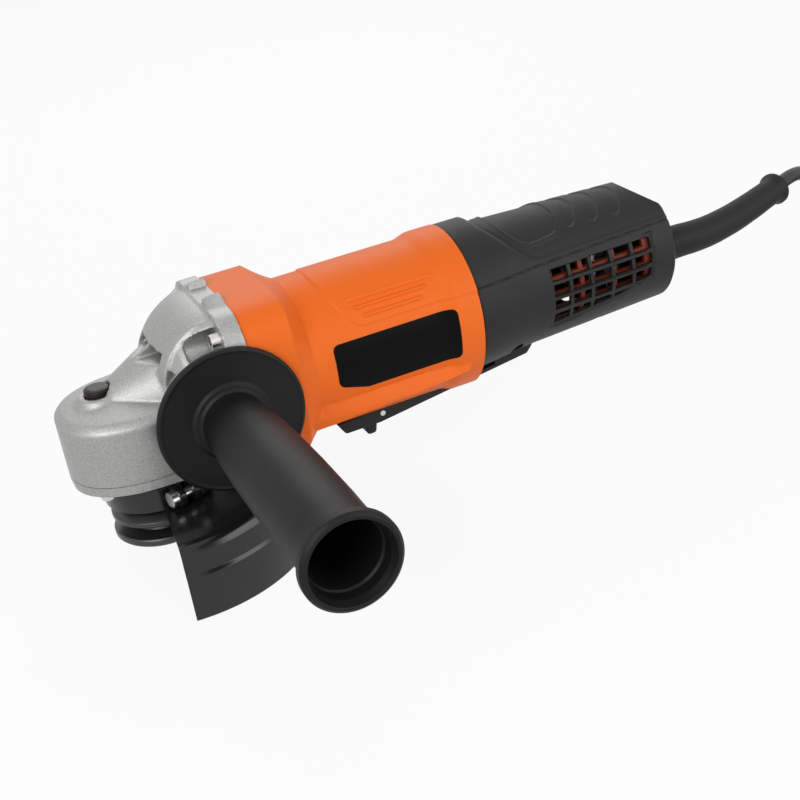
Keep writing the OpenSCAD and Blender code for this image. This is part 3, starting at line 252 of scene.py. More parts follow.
@dataclass
class ShaderGroups:
    """Node groups that several finishes share.

    Attributes:
        tone: Colour and roughness that wander.
        relief: Small relief of each kind.
    """

    tone: bpy.types.NodeTree = field(init=False)
    relief: dict[Relief, bpy.types.NodeTree] = field(init=False)

    def __post_init__(self) -> None:
        """Builds every group once."""
        self.tone = self._tone()
        self.relief = {
            Relief.FINE: self._grain("fine_grain", 1.0, 1.0, (1, 1, 1)),
            Relief.CAST: self._grain("cast_grain", 0.55, 2.0, (1, 1, 1)),
            Relief.BRUSHED: self._grain("brushed_grain", 1.0, 2.0, (0.06, 1, 1)),
        }

    @staticmethod
    def _group(
        name: str, ins: dict[str, str], outs: dict[str, str]
    ) -> tuple[bpy.types.NodeTree, bpy.types.Node]:
        """Starts a group with its sockets.

        Args:
            name: Name of the group.
            ins: Input name to kind of value.
            outs: Output name to kind of value.

        Returns:
            The group and its input node.
        """
        tree = bpy.data.node_groups.new(name, "ShaderNodeTree")
        for way, sockets in (("INPUT", ins), ("OUTPUT", outs)):
            for socket, kind in sockets.items():
                tree.interface.new_socket(socket, in_out=way, socket_type=f"NodeSocket{kind}")
        return tree, add(tree, "NodeGroupInput")

    def _tone(self) -> bpy.types.NodeTree:
        """Makes the group of colour and roughness that wander slowly over a surface.

        Returns:
            The node group.
        """
        ins = {"Vector": "Vector", "Colour": "Color"}
        ins |= dict.fromkeys(("Drift", "Roughness", "Roughness Drift"), "Float")
        tree, start = self._group("tone_drift", ins, {"Colour": "Color", "Roughness": "Float"})
        given = start.outputs
        noise = add(tree, "ShaderNodeTexNoise", {"Vector": given["Vector"], "Scale": 55.0, "Detail": 5.0})
        centre = computed(tree, "SUBTRACT", noise.outputs["Fac"], 0.5)
        amount = computed(tree, "MULTIPLY_ADD", centre, given["Drift"], 1.0)
        shade = add(tree, "ShaderNodeVectorMath", {0: given["Colour"], "Scale": amount}, operation="SCALE")
        steps = (centre, given["Roughness Drift"], given["Roughness"])
        rough = computed(tree, "MULTIPLY_ADD", *steps, clamp=True)
        add(tree, "NodeGroupOutput", {"Colour": shade.outputs[0], "Roughness": rough})
        return tree

    def _grain(self, name: str, rough: float, detail: float, stretch: Point) -> bpy.types.NodeTree:
        """Makes a group of small relief from one noise.

        Args:
            name: Name of the group.
            rough: Roughness of the noise.
            detail: Detail of the noise.
            stretch: Scale of the pattern along each axis.

        Returns:
            The node group, with a height and a shade.
        """
        outs = {"Height": "Float", "Shade": "Color"}
        tree, start = self._group(name, {"Vector": "Vector", "Scale": "Float"}, outs)
        turn = add(tree, "ShaderNodeMapping", {"Vector": start.outputs["Vector"], "Scale": stretch})
        pattern = {"Vector": turn.outputs[0], "Scale": start.outputs["Scale"]}
        noise = add(tree, "ShaderNodeTexNoise", {**pattern, "Detail": detail, "Roughness": rough})
        ramp = add(tree, "ShaderNodeValToRGB", {0: noise.outputs["Fac"]})
        for stop, place, grey in zip(ramp.color_ramp.elements, (0.3, 0.62), (0.72, 1.12)):
            stop.position = place
            stop.color = (grey, grey, grey, 1.0)
        add(tree, "NodeGroupOutput", {"Height": noise.outputs["Fac"], "Shade": ramp.outputs[0]})
        return tree


@dataclass
class Finishes:
    """Every finish of the grinder, built once and found by name.

    Attributes:
        groups: The shader node groups.
        made: The materials by name.
    """

    groups: ShaderGroups = field(default_factory=ShaderGroups)
    made: dict[str, bpy.types.Material] = field(default_factory=dict)

    LIST = (
        Finish(
            "cast_aluminium", (0.37, 0.37, 0.362), 0.50,
            metal=0.75, relief=Relief.CAST, grain=0.45, depth=0.035, rough_drift=0.12,
        ),
        Finish(
            "orange_housing", (0.80, 0.14, 0.010), 0.48,
            grain=0.35, drift=0.05, rough_drift=0.08, shine=0.22,
        ),
        Finish(
            "black_housing", (0.011, 0.0105, 0.010), 0.55,
            grain=0.35, depth=0.010, drift=0.12, shine=0.28,
        ),
        Finish("black_grip", (0.006, 0.006, 0.006), 0.50, depth=0.006, drift=0.12, shine=0.2),
        Finish("black_rubber", (0.010, 0.010, 0.0105), 0.6, depth=0.008, drift=0.15, shine=0.25),
        Finish("black_lead", (0.016, 0.016, 0.017), 0.40, grain=0.8, shine=0.3),
        Finish("guard_paint", (0.008, 0.008, 0.008), 0.22, grain=1.6, coat=0.3, shine=0.3),
        Finish(
            "dark_steel", (0.06, 0.058, 0.056), 0.34,
            metal=0.7, grain=0.6, drift=0.15, rough_drift=0.12,
        ),
        Finish(
            "bright_steel", (0.62, 0.61, 0.60), 0.28,
            metal=1.0, grain=0.6, depth=0.003, rough_drift=0.12,
        ),
        Finish("gear_steel", (0.36, 0.36, 0.37), 0.30, metal=1.0, relief=Relief.BRUSHED, grain=0.4),
        Finish(
            "bearing_steel", (0.55, 0.55, 0.56), 0.22,
            metal=1.0, relief=Relief.BRUSHED, grain=0.4, depth=0.003, drift=0.06, rough_drift=0.08,
        ),
        Finish(
            "core_steel", (0.20, 0.20, 0.21), 0.45,
            metal=0.9, relief=Relief.BRUSHED, grain=0.6, depth=0.02,
        ),
        Finish(
            "copper_wire", (0.62, 0.22, 0.07), 0.30,
            metal=0.9, grain=0.7, depth=0.05, drift=0.20, coat=0.4,
        ),
        Finish("bronze", (0.50, 0.30, 0.11), 0.38, metal=1.0, grain=0.4, depth=0.008),
        Finish("holder_brass", (0.66, 0.46, 0.16), 0.30, metal=1.0, drift=0.08, rough_drift=0.08),
        Finish("carbon", (0.03, 0.03, 0.03), 0.60, metal=0.1, grain=0.3, depth=0.010, drift=0.15),
        Finish("ivory_nylon", (0.62, 0.56, 0.42), 0.45, grain=0.6, drift=0.06, rough_drift=0.08),
        Finish("inner_plastic", (0.05, 0.05, 0.055), 0.45, depth=0.006),
        Finish(
            "capacitor_resin", (0.60, 0.42, 0.06), 0.25,
            grain=1.2, depth=0.01, drift=0.12, rough_drift=0.08, coat=0.6,
        ),
        Finish("louvre_orange", (0.16, 0.022, 0.008), 0.45, depth=0.006, drift=0.15, shine=0.2),
        Finish(
            "label_black", (0.003, 0.003, 0.0035), 0.30,
            depth=0.002, drift=0.08, rough_drift=0.08, shine=0.06,
        ),
        Finish(
            "button_black", (0.014, 0.010, 0.009), 0.32,
            depth=0.01, drift=0.08, rough_drift=0.08, shine=0.2,
        ),
        Finish("plunger_red", (0.45, 0.015, 0.010), 0.40, grain=0.6, drift=0.08, rough_drift=0.08),
        Finish(
            "plug_metal", (0.70, 0.70, 0.71), 0.15,
            metal=1.0, grain=0.8, depth=0.002, drift=0.05, rough_drift=0.06,
        ),
    )

    def __post_init__(self) -> None:
        """Builds the materials."""
        for finish in self.LIST:
            self.made[finish.name] = finish.build(self.groups)

    def __getitem__(self, name: str) -> bpy.types.Material:
        """Finds a finish's material by its name."""
        return self.made[name]

    def dress(self, frame: dict) -> None:
        """Gives every node of the frame the material of its slot.

        Args:
            frame: The loaded frame.
        """
        slots = {row["node"]: row["material_slot"] for row in frame["record"]["subparts"]}
        for name, obj in frame["nodes"].items():
            obj.data.materials.clear()
            obj.data.materials.append(self.made[slots[name]])


# ---------------------------------------------------------------- studio


def seen_directly(tree: bpy.types.NodeTree) -> Socket:
    """Adds the nodes that are 1 for what the camera sees, also in metal and through glass.

    Args:
        tree: The tree to add to.

    Returns:
        The socket.
    """
    path = add(tree, "ShaderNodeLightPath").outputs
    total = path["Is Camera Ray"]
    for name in ("Is Glossy Ray", "Is Transmission Ray"):
        total = computed(tree, "ADD", total, path[name], clamp=True)
    return total


@dataclass
class Studio:
    """Camera, floor and soft lights, in m.

    Attributes:
        eye: Place of the camera.
        right: The camera's right-hand direction.
        up: The camera's upward direction.
        back: Direction from the scene to the camera.
        lens: Focal length on the sensor, in mm.
        sensor: Width of the sensor, in mm.
        clip: Nearest and farthest thing that the camera sees.
        floor_z: Height of the floor.
        floor_half: Half width of the floor.
        floor_glow: Share of its own white in what the camera sees of the floor.
        aim: What the lamps point at.
        sky: Strength of the light from all round.
    """

    eye: tuple[float, float, float] = (-0.08691, -0.53889, 0.30626)
    right: tuple[float, float, float] = (0.89828, -0.41595, -0.14168)
    up: tuple[float, float, float] = (0.30850, 0.36738, 0.87742)
    back: tuple[float, float, float] = (-0.31291, -0.83188, 0.45833)
    lens: float = 64.68
    sensor: float = 36.0
    clip: tuple[float, float] = (0.01, 20.0)
    floor_z: float = -0.0202
    floor_half: float = 4.0
    floor_glow: float = 0.90
    aim: tuple[float, float, float] = (0.10, 0.0, 0.03)
    sky: float = 0.5

    def build(self) -> None:
        """Makes the camera, the floor, the lamps and the world."""
        self._camera()
        self._floor()
        self._lamp("key", (-0.75, -0.75, 0.75), 0.7, 9.0)
        self._lamp("fill", (0.85, -0.95, 0.45), 0.8, 5.5)
        self._lamp("rear", (0.35, 0.85, 0.75), 0.7, 3.0)
        self._world()
        bpy.context.scene.view_settings.view_transform = "Standard"

    def _camera(self) -> None:
        """Makes the camera and puts it in charge."""
        data = bpy.data.cameras.new("camera")
        data.lens = self.lens
        data.sensor_width = self.sensor
        data.clip_start, data.clip_end = self.clip
        obj = linked("camera", data)
        turn = Matrix((self.right, self.up, self.back)).transposed().to_4x4()
        obj.matrix_world = Matrix.Translation(self.eye) @ turn
        bpy.context.scene.camera = obj

    def _floor(self) -> None:
        """Makes a wide pale floor that keeps a faint shadow."""
        mesh = bpy.data.meshes.new("floor")
        half = self.floor_half
        corners = [(-half, -half), (half, -half), (half, half), (-half, half)]
        mesh.from_pydata([(x, y, self.floor_z) for x, y in corners], [], [(0, 1, 2, 3)])
        mat = bpy.data.materials.new("floor")
        tree = blank(mat)
        matt = add(tree, "ShaderNodeBsdfDiffuse", {"Color": (0.86, 0.86, 0.86, 1.0)})
        glow = add(tree, "ShaderNodeEmission")
        share = computed(tree, "MULTIPLY", seen_directly(tree), self.floor_glow)
        mix = add(tree, "ShaderNodeMixShader", {0: share, 1: matt.outputs[0], 2: glow.outputs[0]})
        add(tree, "ShaderNodeOutputMaterial", {0: mix.outputs[0]})
        mesh.materials.append(mat)
        linked("floor", mesh)

    def _lamp(self, name: str, at: Point, size: float, power: float) -> None:
        """Makes one square area lamp.

        Args:
            name: Name of the lamp.
            at: Its place.
            size: Length of its side.
            power: Its power, in W.
        """
        data = bpy.data.lights.new(name, "AREA")
        data.shape = "SQUARE"
        data.size = size
        data.energy = power
        way = Vector(self.aim) - Vector(at)
        turn = way.to_track_quat("-Z", "Y").to_matrix().to_4x4()
        linked(name, data).matrix_world = Matrix.Translation(at) @ turn

    def _world(self) -> None:
        """Makes an even, soft sky that the camera sees as white."""
        world = bpy.data.worlds.new("world")
        tree = blank(world)
        sky = add(tree, "ShaderNodeBackground", {"Strength": self.sky})
        white = add(tree, "ShaderNodeBackground", {"Color": (1.0, 1.0, 1.0, 1.0)})
        shaders = {1: sky.outputs[0], 2: white.outputs[0]}
        mix = add(tree, "ShaderNodeMixShader", {0: seen_directly(tree), **shaders})
        add(tree, "ShaderNodeOutputWorld", {0: mix.outputs[0]})
        bpy.context.scene.world = world


# ---------------------------------------------------------------- meshes


@dataclass
class Assembly:
    """A sub-assembly of the grinder.

    Attributes:
        look: The finishes.
    """

    look: Finishes

    def settle(self, obj: bpy.types.Object, slot: str, body: str, *nodes: str) -> bpy.types.Object:
        """Dresses a finished piece and ties it to the frame.

        Args:
            obj: The piece.
            slot: Finish and material slot of the piece.
            body: Body that it rides on.
            nodes: Nodes that it stands for.

        Returns:
            The same piece.
        """
        obj.data.materials.clear()
        obj.data.materials.append(self.look[slot])
        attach(obj, body)
        if nodes:
            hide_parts(*nodes)
        LOG.info("%s rides on %s with %d faces", obj.name, body, len(getattr(obj.data, "polygons", ())))
        return obj


def shaded(mesh: bpy.types.Mesh, crease: float) -> None:
    """Shades a mesh smooth up to a crease angle, in degrees."""
    mesh.shade_smooth()
    mesh.set_sharp_from_angle(angle=math.radians(crease))


def as_object(
    name: str, points: np.ndarray | Sequence[Point], faces: Iterable[Sequence[int]], crease: float = CREASE
) -> bpy.types.Object:
    """Makes a smooth-shaded object whose faces point outwards.

    Args:
        name: Name of the object.
        points: Its vertices.
        faces: Its faces, as rows of vertex numbers.
        crease: Angle past which an edge stays sharp, in degrees.

    Returns:
        The object, linked to the scene.
    """
    mesh = bpy.data.meshes.new(name)
    mesh.from_pydata((np.asarray(points, dtype=float) * MM).tolist(), [], [tuple(f) for f in faces])
    built = bmesh.new()
    built.from_mesh(mesh)
    bmesh.ops.remove_doubles(built, verts=built.verts, dist=MERGE)
    bmesh.ops.recalc_face_normals(built, faces=built.faces)
    built.to_mesh(mesh)
    built.free()
    shaded(mesh, crease)
    return linked(name, mesh)


def grid_faces(
    rows: int, cols: int, wrap_rows: bool = False, wrap_cols: bool = True
) -> list[tuple[int, ...]]:
    """Quads over a grid of points that is stored row by row.

    Args:
        rows: Number of rows.
        cols: Number of points in a row.
        wrap_rows: Whether the last row joins the first.
        wrap_cols: Whether the last point of a row joins the first.

    Returns:
        The faces.
    """
    faces = []
    for i in range(rows if wrap_rows else rows - 1):
        j = (i + 1) % rows
        for k in range(cols if wrap_cols else cols - 1):
            m = (k + 1) % cols
            faces.append((i * cols + k, i * cols + m, j * cols + m, j * cols + k))
    return faces


def rounded(points: Sequence[Point], closed: bool = False, steps: int = 5) -> list[tuple[float, float]]:
    """Rounds the corners of an outline.

    Args:
        points: Corners as (u, v) or (u, v, radius).
        closed: Whether the last corner joins the first.
        steps: Points along each rounded corner.

    Returns:
        The outline's points.
    """
    longest = 0.48  # of the shorter edge at a corner
    out: list[tuple[float, float]] = []
    count = len(points)
    for i, corner in enumerate(points):
        here = Vector(corner[:2])
        radius = corner[2] if len(corner) > 2 else 0.0
        if radius <= 0 or (not closed and i in (0, count - 1)):
            out.append((here.x, here.y))
            continue
        back = Vector(points[i - 1][:2]) - here
        on = Vector(points[(i + 1) % count][:2]) - here
        half = back.angle(on, math.pi) / 2
        reach = min(radius / max(math.tan(half), 1e-3), back.length * longest, on.length * longest)
        start, end = here + back.normalized() * reach, here + on.normalized() * reach
        for s in range(steps + 1):
            t = s / steps
            point = start * (1 - t) ** 2 + here * 2 * t * (1 - t) + end * t * t
            out.append((point.x, point.y))
    return out


def lathe(
    name: str,
    profile: Sequence[Point],
    place: Matrix,
    sides: int = 96,
    closed: bool = False,
    turn: tuple[float, float] | None = None,
) -> bpy.types.Object:
    """Turns an outline of (radius, height) about an axis.

    Args:
        name: Name of the object.
        profile: The outline.
        place: Puts the upright axis where it belongs.
        sides: Number of steps round the axis.
        closed: Whether the outline is a loop that doesn't touch the axis.
        turn: First and last angle in degrees, or a full turn.

    Returns:
        The object.
    """
    first, last = (0.0, 360.0) if turn is None else turn
    full = turn is None
    angles = np.radians(np.linspace(first, last, sides, endpoint=not full))
    radius = np.array([p[0] for p in profile])[:, None]
    height = np.array([p[1] for p in profile])[:, None]
    ring = (radius * np.cos(angles), radius * np.sin(angles), height + 0 * angles)
    points = np.stack(ring, axis=-1).reshape(-1, 3)
    rows = len(profile)
    faces = grid_faces(rows, sides, wrap_rows=closed, wrap_cols=full)
    if not full:
        for col, flip in ((0, False), (sides - 1, True)):
            cap = [i * sides + col for i in range(rows)]
            faces.append(tuple(reversed(cap)) if flip else tuple(cap))
    turned = points @ np.array(place.to_3x3()).T + np.array(place.translation)
    return as_object(name, turned, faces)


def along_y(x: float, z: float) -> Matrix:
    """Turns an upright axis to run out along -Y through (x, z)."""
    return Matrix.Translation((x, 0, z)) @ Matrix.Rotation(math.pi / 2, 4, "X")


def frames_along(path: np.ndarray) -> tuple[np.ndarray, np.ndarray]:
    """Side and up directions that don't twist along a path.

    Args:
        path: Points of the path.

    Returns:
        Two arrays of unit vectors.
    """
    tangent = np.gradient(path, axis=0)
    tangent /= np.linalg.norm(tangent, axis=1)[:, None]
    side = np.cross(tangent[0], (0.0, 0.0, 1.0))
    sides, ups = [], []
    for way in tangent:
        side = side - way * np.dot(side, way)
        side /= np.linalg.norm(side)
        sides.append(side)
        ups.append(np.cross(side, way))
    return np.array(sides), np.array(ups)


def sweep(name: str, path: Sequence[Point], radii: Sequence[float], sides: int) -> bpy.types.Object:
    """Closed tube along a path, with its own radius at each point.

    Args:
        name: Name of the object.
        path: Points of the middle line.
        radii: Radius at each point.
        sides: Number of sides.

    Returns:
        The object.
    """
    line = np.asarray(path, dtype=float)
    side, up = frames_along(line)
    angles = np.linspace(0, 2 * math.pi, sides, endpoint=False)
    across, upward = np.cos(angles)[None, :, None], np.sin(angles)[None, :, None]
    ring = across * side[:, None, :] + upward * up[:, None, :]
    points = (line[:, None, :] + ring * np.asarray(radii)[:, None, None]).reshape(-1, 3)
    rows = len(line)
    faces = grid_faces(rows, sides)
    faces.append(tuple(range(sides)))
    faces.append(tuple(range((rows - 1) * sides, rows * sides)))
    return as_object(name, points, faces)


def bevelled(obj: bpy.types.Object, width: float) -> bpy.types.Object:
    """Rounds the sharp edges of an object in three steps.

    Args:
        obj: The object, changed in place.
        width: Width of the rounding.

    Returns:
        The same object.
    """
    mod = obj.modifiers.new("round", "BEVEL")
    mod.width = width * MM
    mod.segments = 3
    mod.limit_method = "ANGLE"
    mod.angle_limit = math.radians(30)
    mod.harden_normals = False
    return baked(obj)


def baked(obj: bpy.types.Object) -> bpy.types.Object:
    """Turns an object's modifiers into plain mesh.

    Args:
        obj: The object, changed in place.

    Returns:
        The same object.
    """
    graph = bpy.context.evaluated_depsgraph_get()
    graph.update()
    done = obj.evaluated_get(graph)
    mesh = bpy.data.meshes.new_from_object(done, preserve_all_data_layers=True, depsgraph=graph)
    old = obj.data
    obj.modifiers.clear()
    obj.data = mesh
    bpy.data.meshes.remove(old)
    shaded(mesh, CREASE)
    return obj


def slab(name: str, outline: Sequence[Point], y0: float, y1: float, width: float) -> bpy.types.Object:
    """Straight slab with rounded edges from an (x, z) outline.

    Args:
        name: Name of the object.
        outline: The outline.
        y0: Where it starts along Y.
        y1: Where it ends.
        width: Width of the rounding.

    Returns:
        The object.
    """
    count = len(outline)
    points = [(u, y, v) for y in (y0, y1) for u, v in outline]
    faces: list[tuple[int, ...]] = [tuple(range(count)), tuple(range(2 * count - 1, count - 1, -1))]
    faces += [(i, (i + 1) % count, (i + 1) % count + count, i + count) for i in range(count)]
    obj = as_object(name, points, faces)
    return bevelled(obj, width) if width > 0 else obj


def discard(obj: bpy.types.Object) -> None:
    """Removes an object and its mesh."""
    mesh = obj.data
    bpy.data.objects.remove(obj)
    bpy.data.meshes.remove(mesh)


def joined(name: str, objs: Sequence[bpy.types.Object]) -> bpy.types.Object:
    """Joins several finished objects into one mesh.

    Args:
        name: Name of the result.
        objs: The objects, which are removed.

    Returns:
        The joined object.
    """
    built = bmesh.new()
    for obj in objs:
        built.from_mesh(obj.data)
    mesh = bpy.data.meshes.new(name)
    built.to_mesh(mesh)
    built.free()
    for obj in objs:
        discard(obj)
    return linked(name, mesh)


# ---------------------------------------------------------------- solid fields


def smooth(t: Any) -> Any:
    """Goes from 0 to 1 as t does, with a level start and end."""
    return t * t * (3 - 2 * t)


def blend_min(a: np.ndarray, b: np.ndarray, k: float) -> np.ndarray:
    """Union of two fields with a fillet of about k."""
    h = np.clip(0.5 + 0.5 * (b - a) / k, 0, 1)
    return b + (a - b) * h - k * h * (1 - h)


def blend_max(a: np.ndarray, b: np.ndarray, k: float) -> np.ndarray:
    """Intersection of two fields with an edge rounded by about k."""
    return -blend_min(-a, -b, k)


def cut(a: np.ndarray, b: np.ndarray, k: float = 0.4) -> np.ndarray:
    """Field a with field b taken out of it."""
    return blend_max(a, -b, k)


def box_field(p: Sequence[np.ndarray], low: Point, high: Point, r: float = 0.0) -> np.ndarray:
    """Distance to a box with rounded edges.

    Args:
        p: The x, y and z of the samples.
        low: Lowest corner.
        high: Highest corner.
        r: Radius of the edges.

    Returns:
        The field.
    """
    q = [abs(c - (a + b) / 2) - (b - a) / 2 + r for c, a, b in zip(p, low, high)]
    outside = np.sqrt(sum(np.maximum(c, 0) ** 2 for c in q))
    return outside + np.minimum(np.maximum(np.maximum(q[0], q[1]), q[2]), 0) - r


def rod_field(
    a: np.ndarray, b: np.ndarray, along: np.ndarray, low: float, high: float, r: float
) -> np.ndarray:
    """Distance to a rod.

    Args:
        a: First coordinate of the samples from the rod's middle line.
        b: Second coordinate from it.
        along: Coordinate along the rod.
        low: Where the rod starts.
        high: Where it ends.
        r: Its radius.

    Returns:
        The field.
    """
    d = np.hypot(a, b) - r
    e = np.maximum(along - high, low - along)
    return np.minimum(np.maximum(d, e), 0) + np.hypot(np.maximum(d, 0), np.maximum(e, 0))


def plate_field(u: np.ndarray, v: np.ndarray, r: float) -> np.ndarray:
    """Distance to a rectangle with rounded corners.

    Args:
        u: How far the samples lie outside its ends.
        v: How far they lie outside its other two sides.
        r: Radius of the corners.

    Returns:
        The field.
    """
    p, q = u + r, v + r
    return np.hypot(np.maximum(p, 0), np.maximum(q, 0)) + np.minimum(np.maximum(p, q), 0) - r


def outline_field(u: np.ndarray, v: np.ndarray, outline: Sequence[Point]) -> np.ndarray:
    """Signed distance to a closed outline, negative inside.

    Args:
        u: First coordinate of the samples.
        v: Second coordinate.
        outline: Corners of the outline.

    Returns:
        The field.
    """
    best = np.full(np.broadcast(u, v).shape, 1e9)
    inside = np.zeros(best.shape, dtype=bool)
    count = len(outline)
    for i in range(count):
        (ax, ay), (bx, by) = outline[i][:2], outline[(i + 1) % count][:2]
        ex, ey = bx - ax, by - ay
        t = np.clip(((u - ax) * ex + (v - ay) * ey) / max(ex * ex + ey * ey, 1e-9), 0, 1)
        best = np.minimum(best, np.hypot(u - ax - t * ex, v - ay - t * ey))
        if ay != by:
            crosses = ((ay > v) != (by > v)) & (u < ex * (v - ay) / ey + ax)
            inside ^= crosses
    return np.where(inside, -best, best)


def skin(
    name: str, field_at: Callable[..., np.ndarray], low: Point, high: Point, step: float
) -> bpy.types.Object:
    """Meshes the zero surface of a field with one vertex in each cell that it crosses.

    Args:
        name: Name of the object.
        field_at: Gives the field from x, y and z, negative inside.
        low: Lowest corner of the region.
        high: Highest corner.
        step: Size of a cell.

    Returns:
        The object.
    """
    axes = [np.arange(a, b + step, step) for a, b in zip(low, high)]
    grid = np.meshgrid(*axes, indexing="ij", sparse=True)
    value = field_at(*grid)
    inside = value < 0
    shape = np.array(value.shape)
    corners = [
        inside[i : shape[0] - 1 + i, j : shape[1] - 1 + j, k : shape[2] - 1 + k].astype(np.int8)
        for i, j, k in np.ndindex(2, 2, 2)
    ]
    filled = sum(corners)
    cells = np.argwhere((filled > 0) & (filled < len(corners)))
    number = np.full(shape - 1, -1, dtype=np.int64)
    number[tuple(cells.T)] = np.arange(len(cells))
    total = np.zeros((len(cells), 3))
    hits = np.zeros(len(cells))
    for axis in range(3):
        step_to = np.eye(3, dtype=int)[axis]
        for a, b in np.ndindex(2, 2):
            start = cells + np.insert(np.array([a, b]), axis, 0)
            end = start + step_to
            v0, v1 = value[tuple(start.T)], value[tuple(end.T)]
            crossed = (v0 < 0) != (v1 < 0)
            share = v0 / np.where(crossed, v0 - v1, 1.0)
            point = start + share[:, None] * step_to
            total[crossed] += point[crossed]
            hits[crossed] += 1
    place = total / hits[:, None]
    points = np.array([a[0] for a in axes]) + place * step
    settled(points, field_at, 0.3 * step)
    faces = []
    for axis in range(3):
        one, two = [i for i in range(3) if i != axis]
        low_side = [slice(None)] * 3
        high_side = [slice(None)] * 3
        low_side[axis], high_side[axis] = slice(0, -1), slice(1, None)
        changed = inside[tuple(low_side)] != inside[tuple(high_side)]
        at = np.argwhere(changed)
        for across in (one, two):
            at = at[(at[:, across] > 0) & (at[:, across] < shape[across] - 1)]
        quad = []
        for d1, d2 in ((-1, -1), (0, -1), (0, 0), (-1, 0)):
            cell = at.copy()
            cell[:, one] += d1
            cell[:, two] += d2
            quad.append(number[tuple(cell.T)])
        faces.append(np.stack(quad, axis=1))
    return as_object(name, points, np.concatenate(faces).tolist(), 40.0)


def settled(points: np.ndarray, field_at: Callable[..., np.ndarray], most: float) -> None:
    """Moves points onto the zero surface of a field, in three steps down its slope.

    Args:
        points: The points, changed in place.
        field_at: Gives the field from x, y and z.
        most: Longest move along an axis in one step.
    """
    probe = 0.1
    flattest = 0.25
    for _ in range(3):
        here = field_at(*points.T)
        rises = [field_at(*(points + d).T) - field_at(*(points - d).T) for d in np.eye(3) * probe]
        slope = np.stack(rises, axis=1) / (2 * probe)
        size = np.maximum((slope**2).sum(axis=1), flattest)
        move = -here[:, None] * slope / size[:, None]
        points += np.clip(move, -most, most)


def within(value: np.ndarray, edge: float, soft: float) -> np.ndarray:
    """1 where value is below edge and 0 above it, with a smooth step 2 * soft wide."""
    return smooth(np.clip((edge - value) / (2 * soft) + 0.5, 0, 1))


# ---------------------------------------------------------------- lead


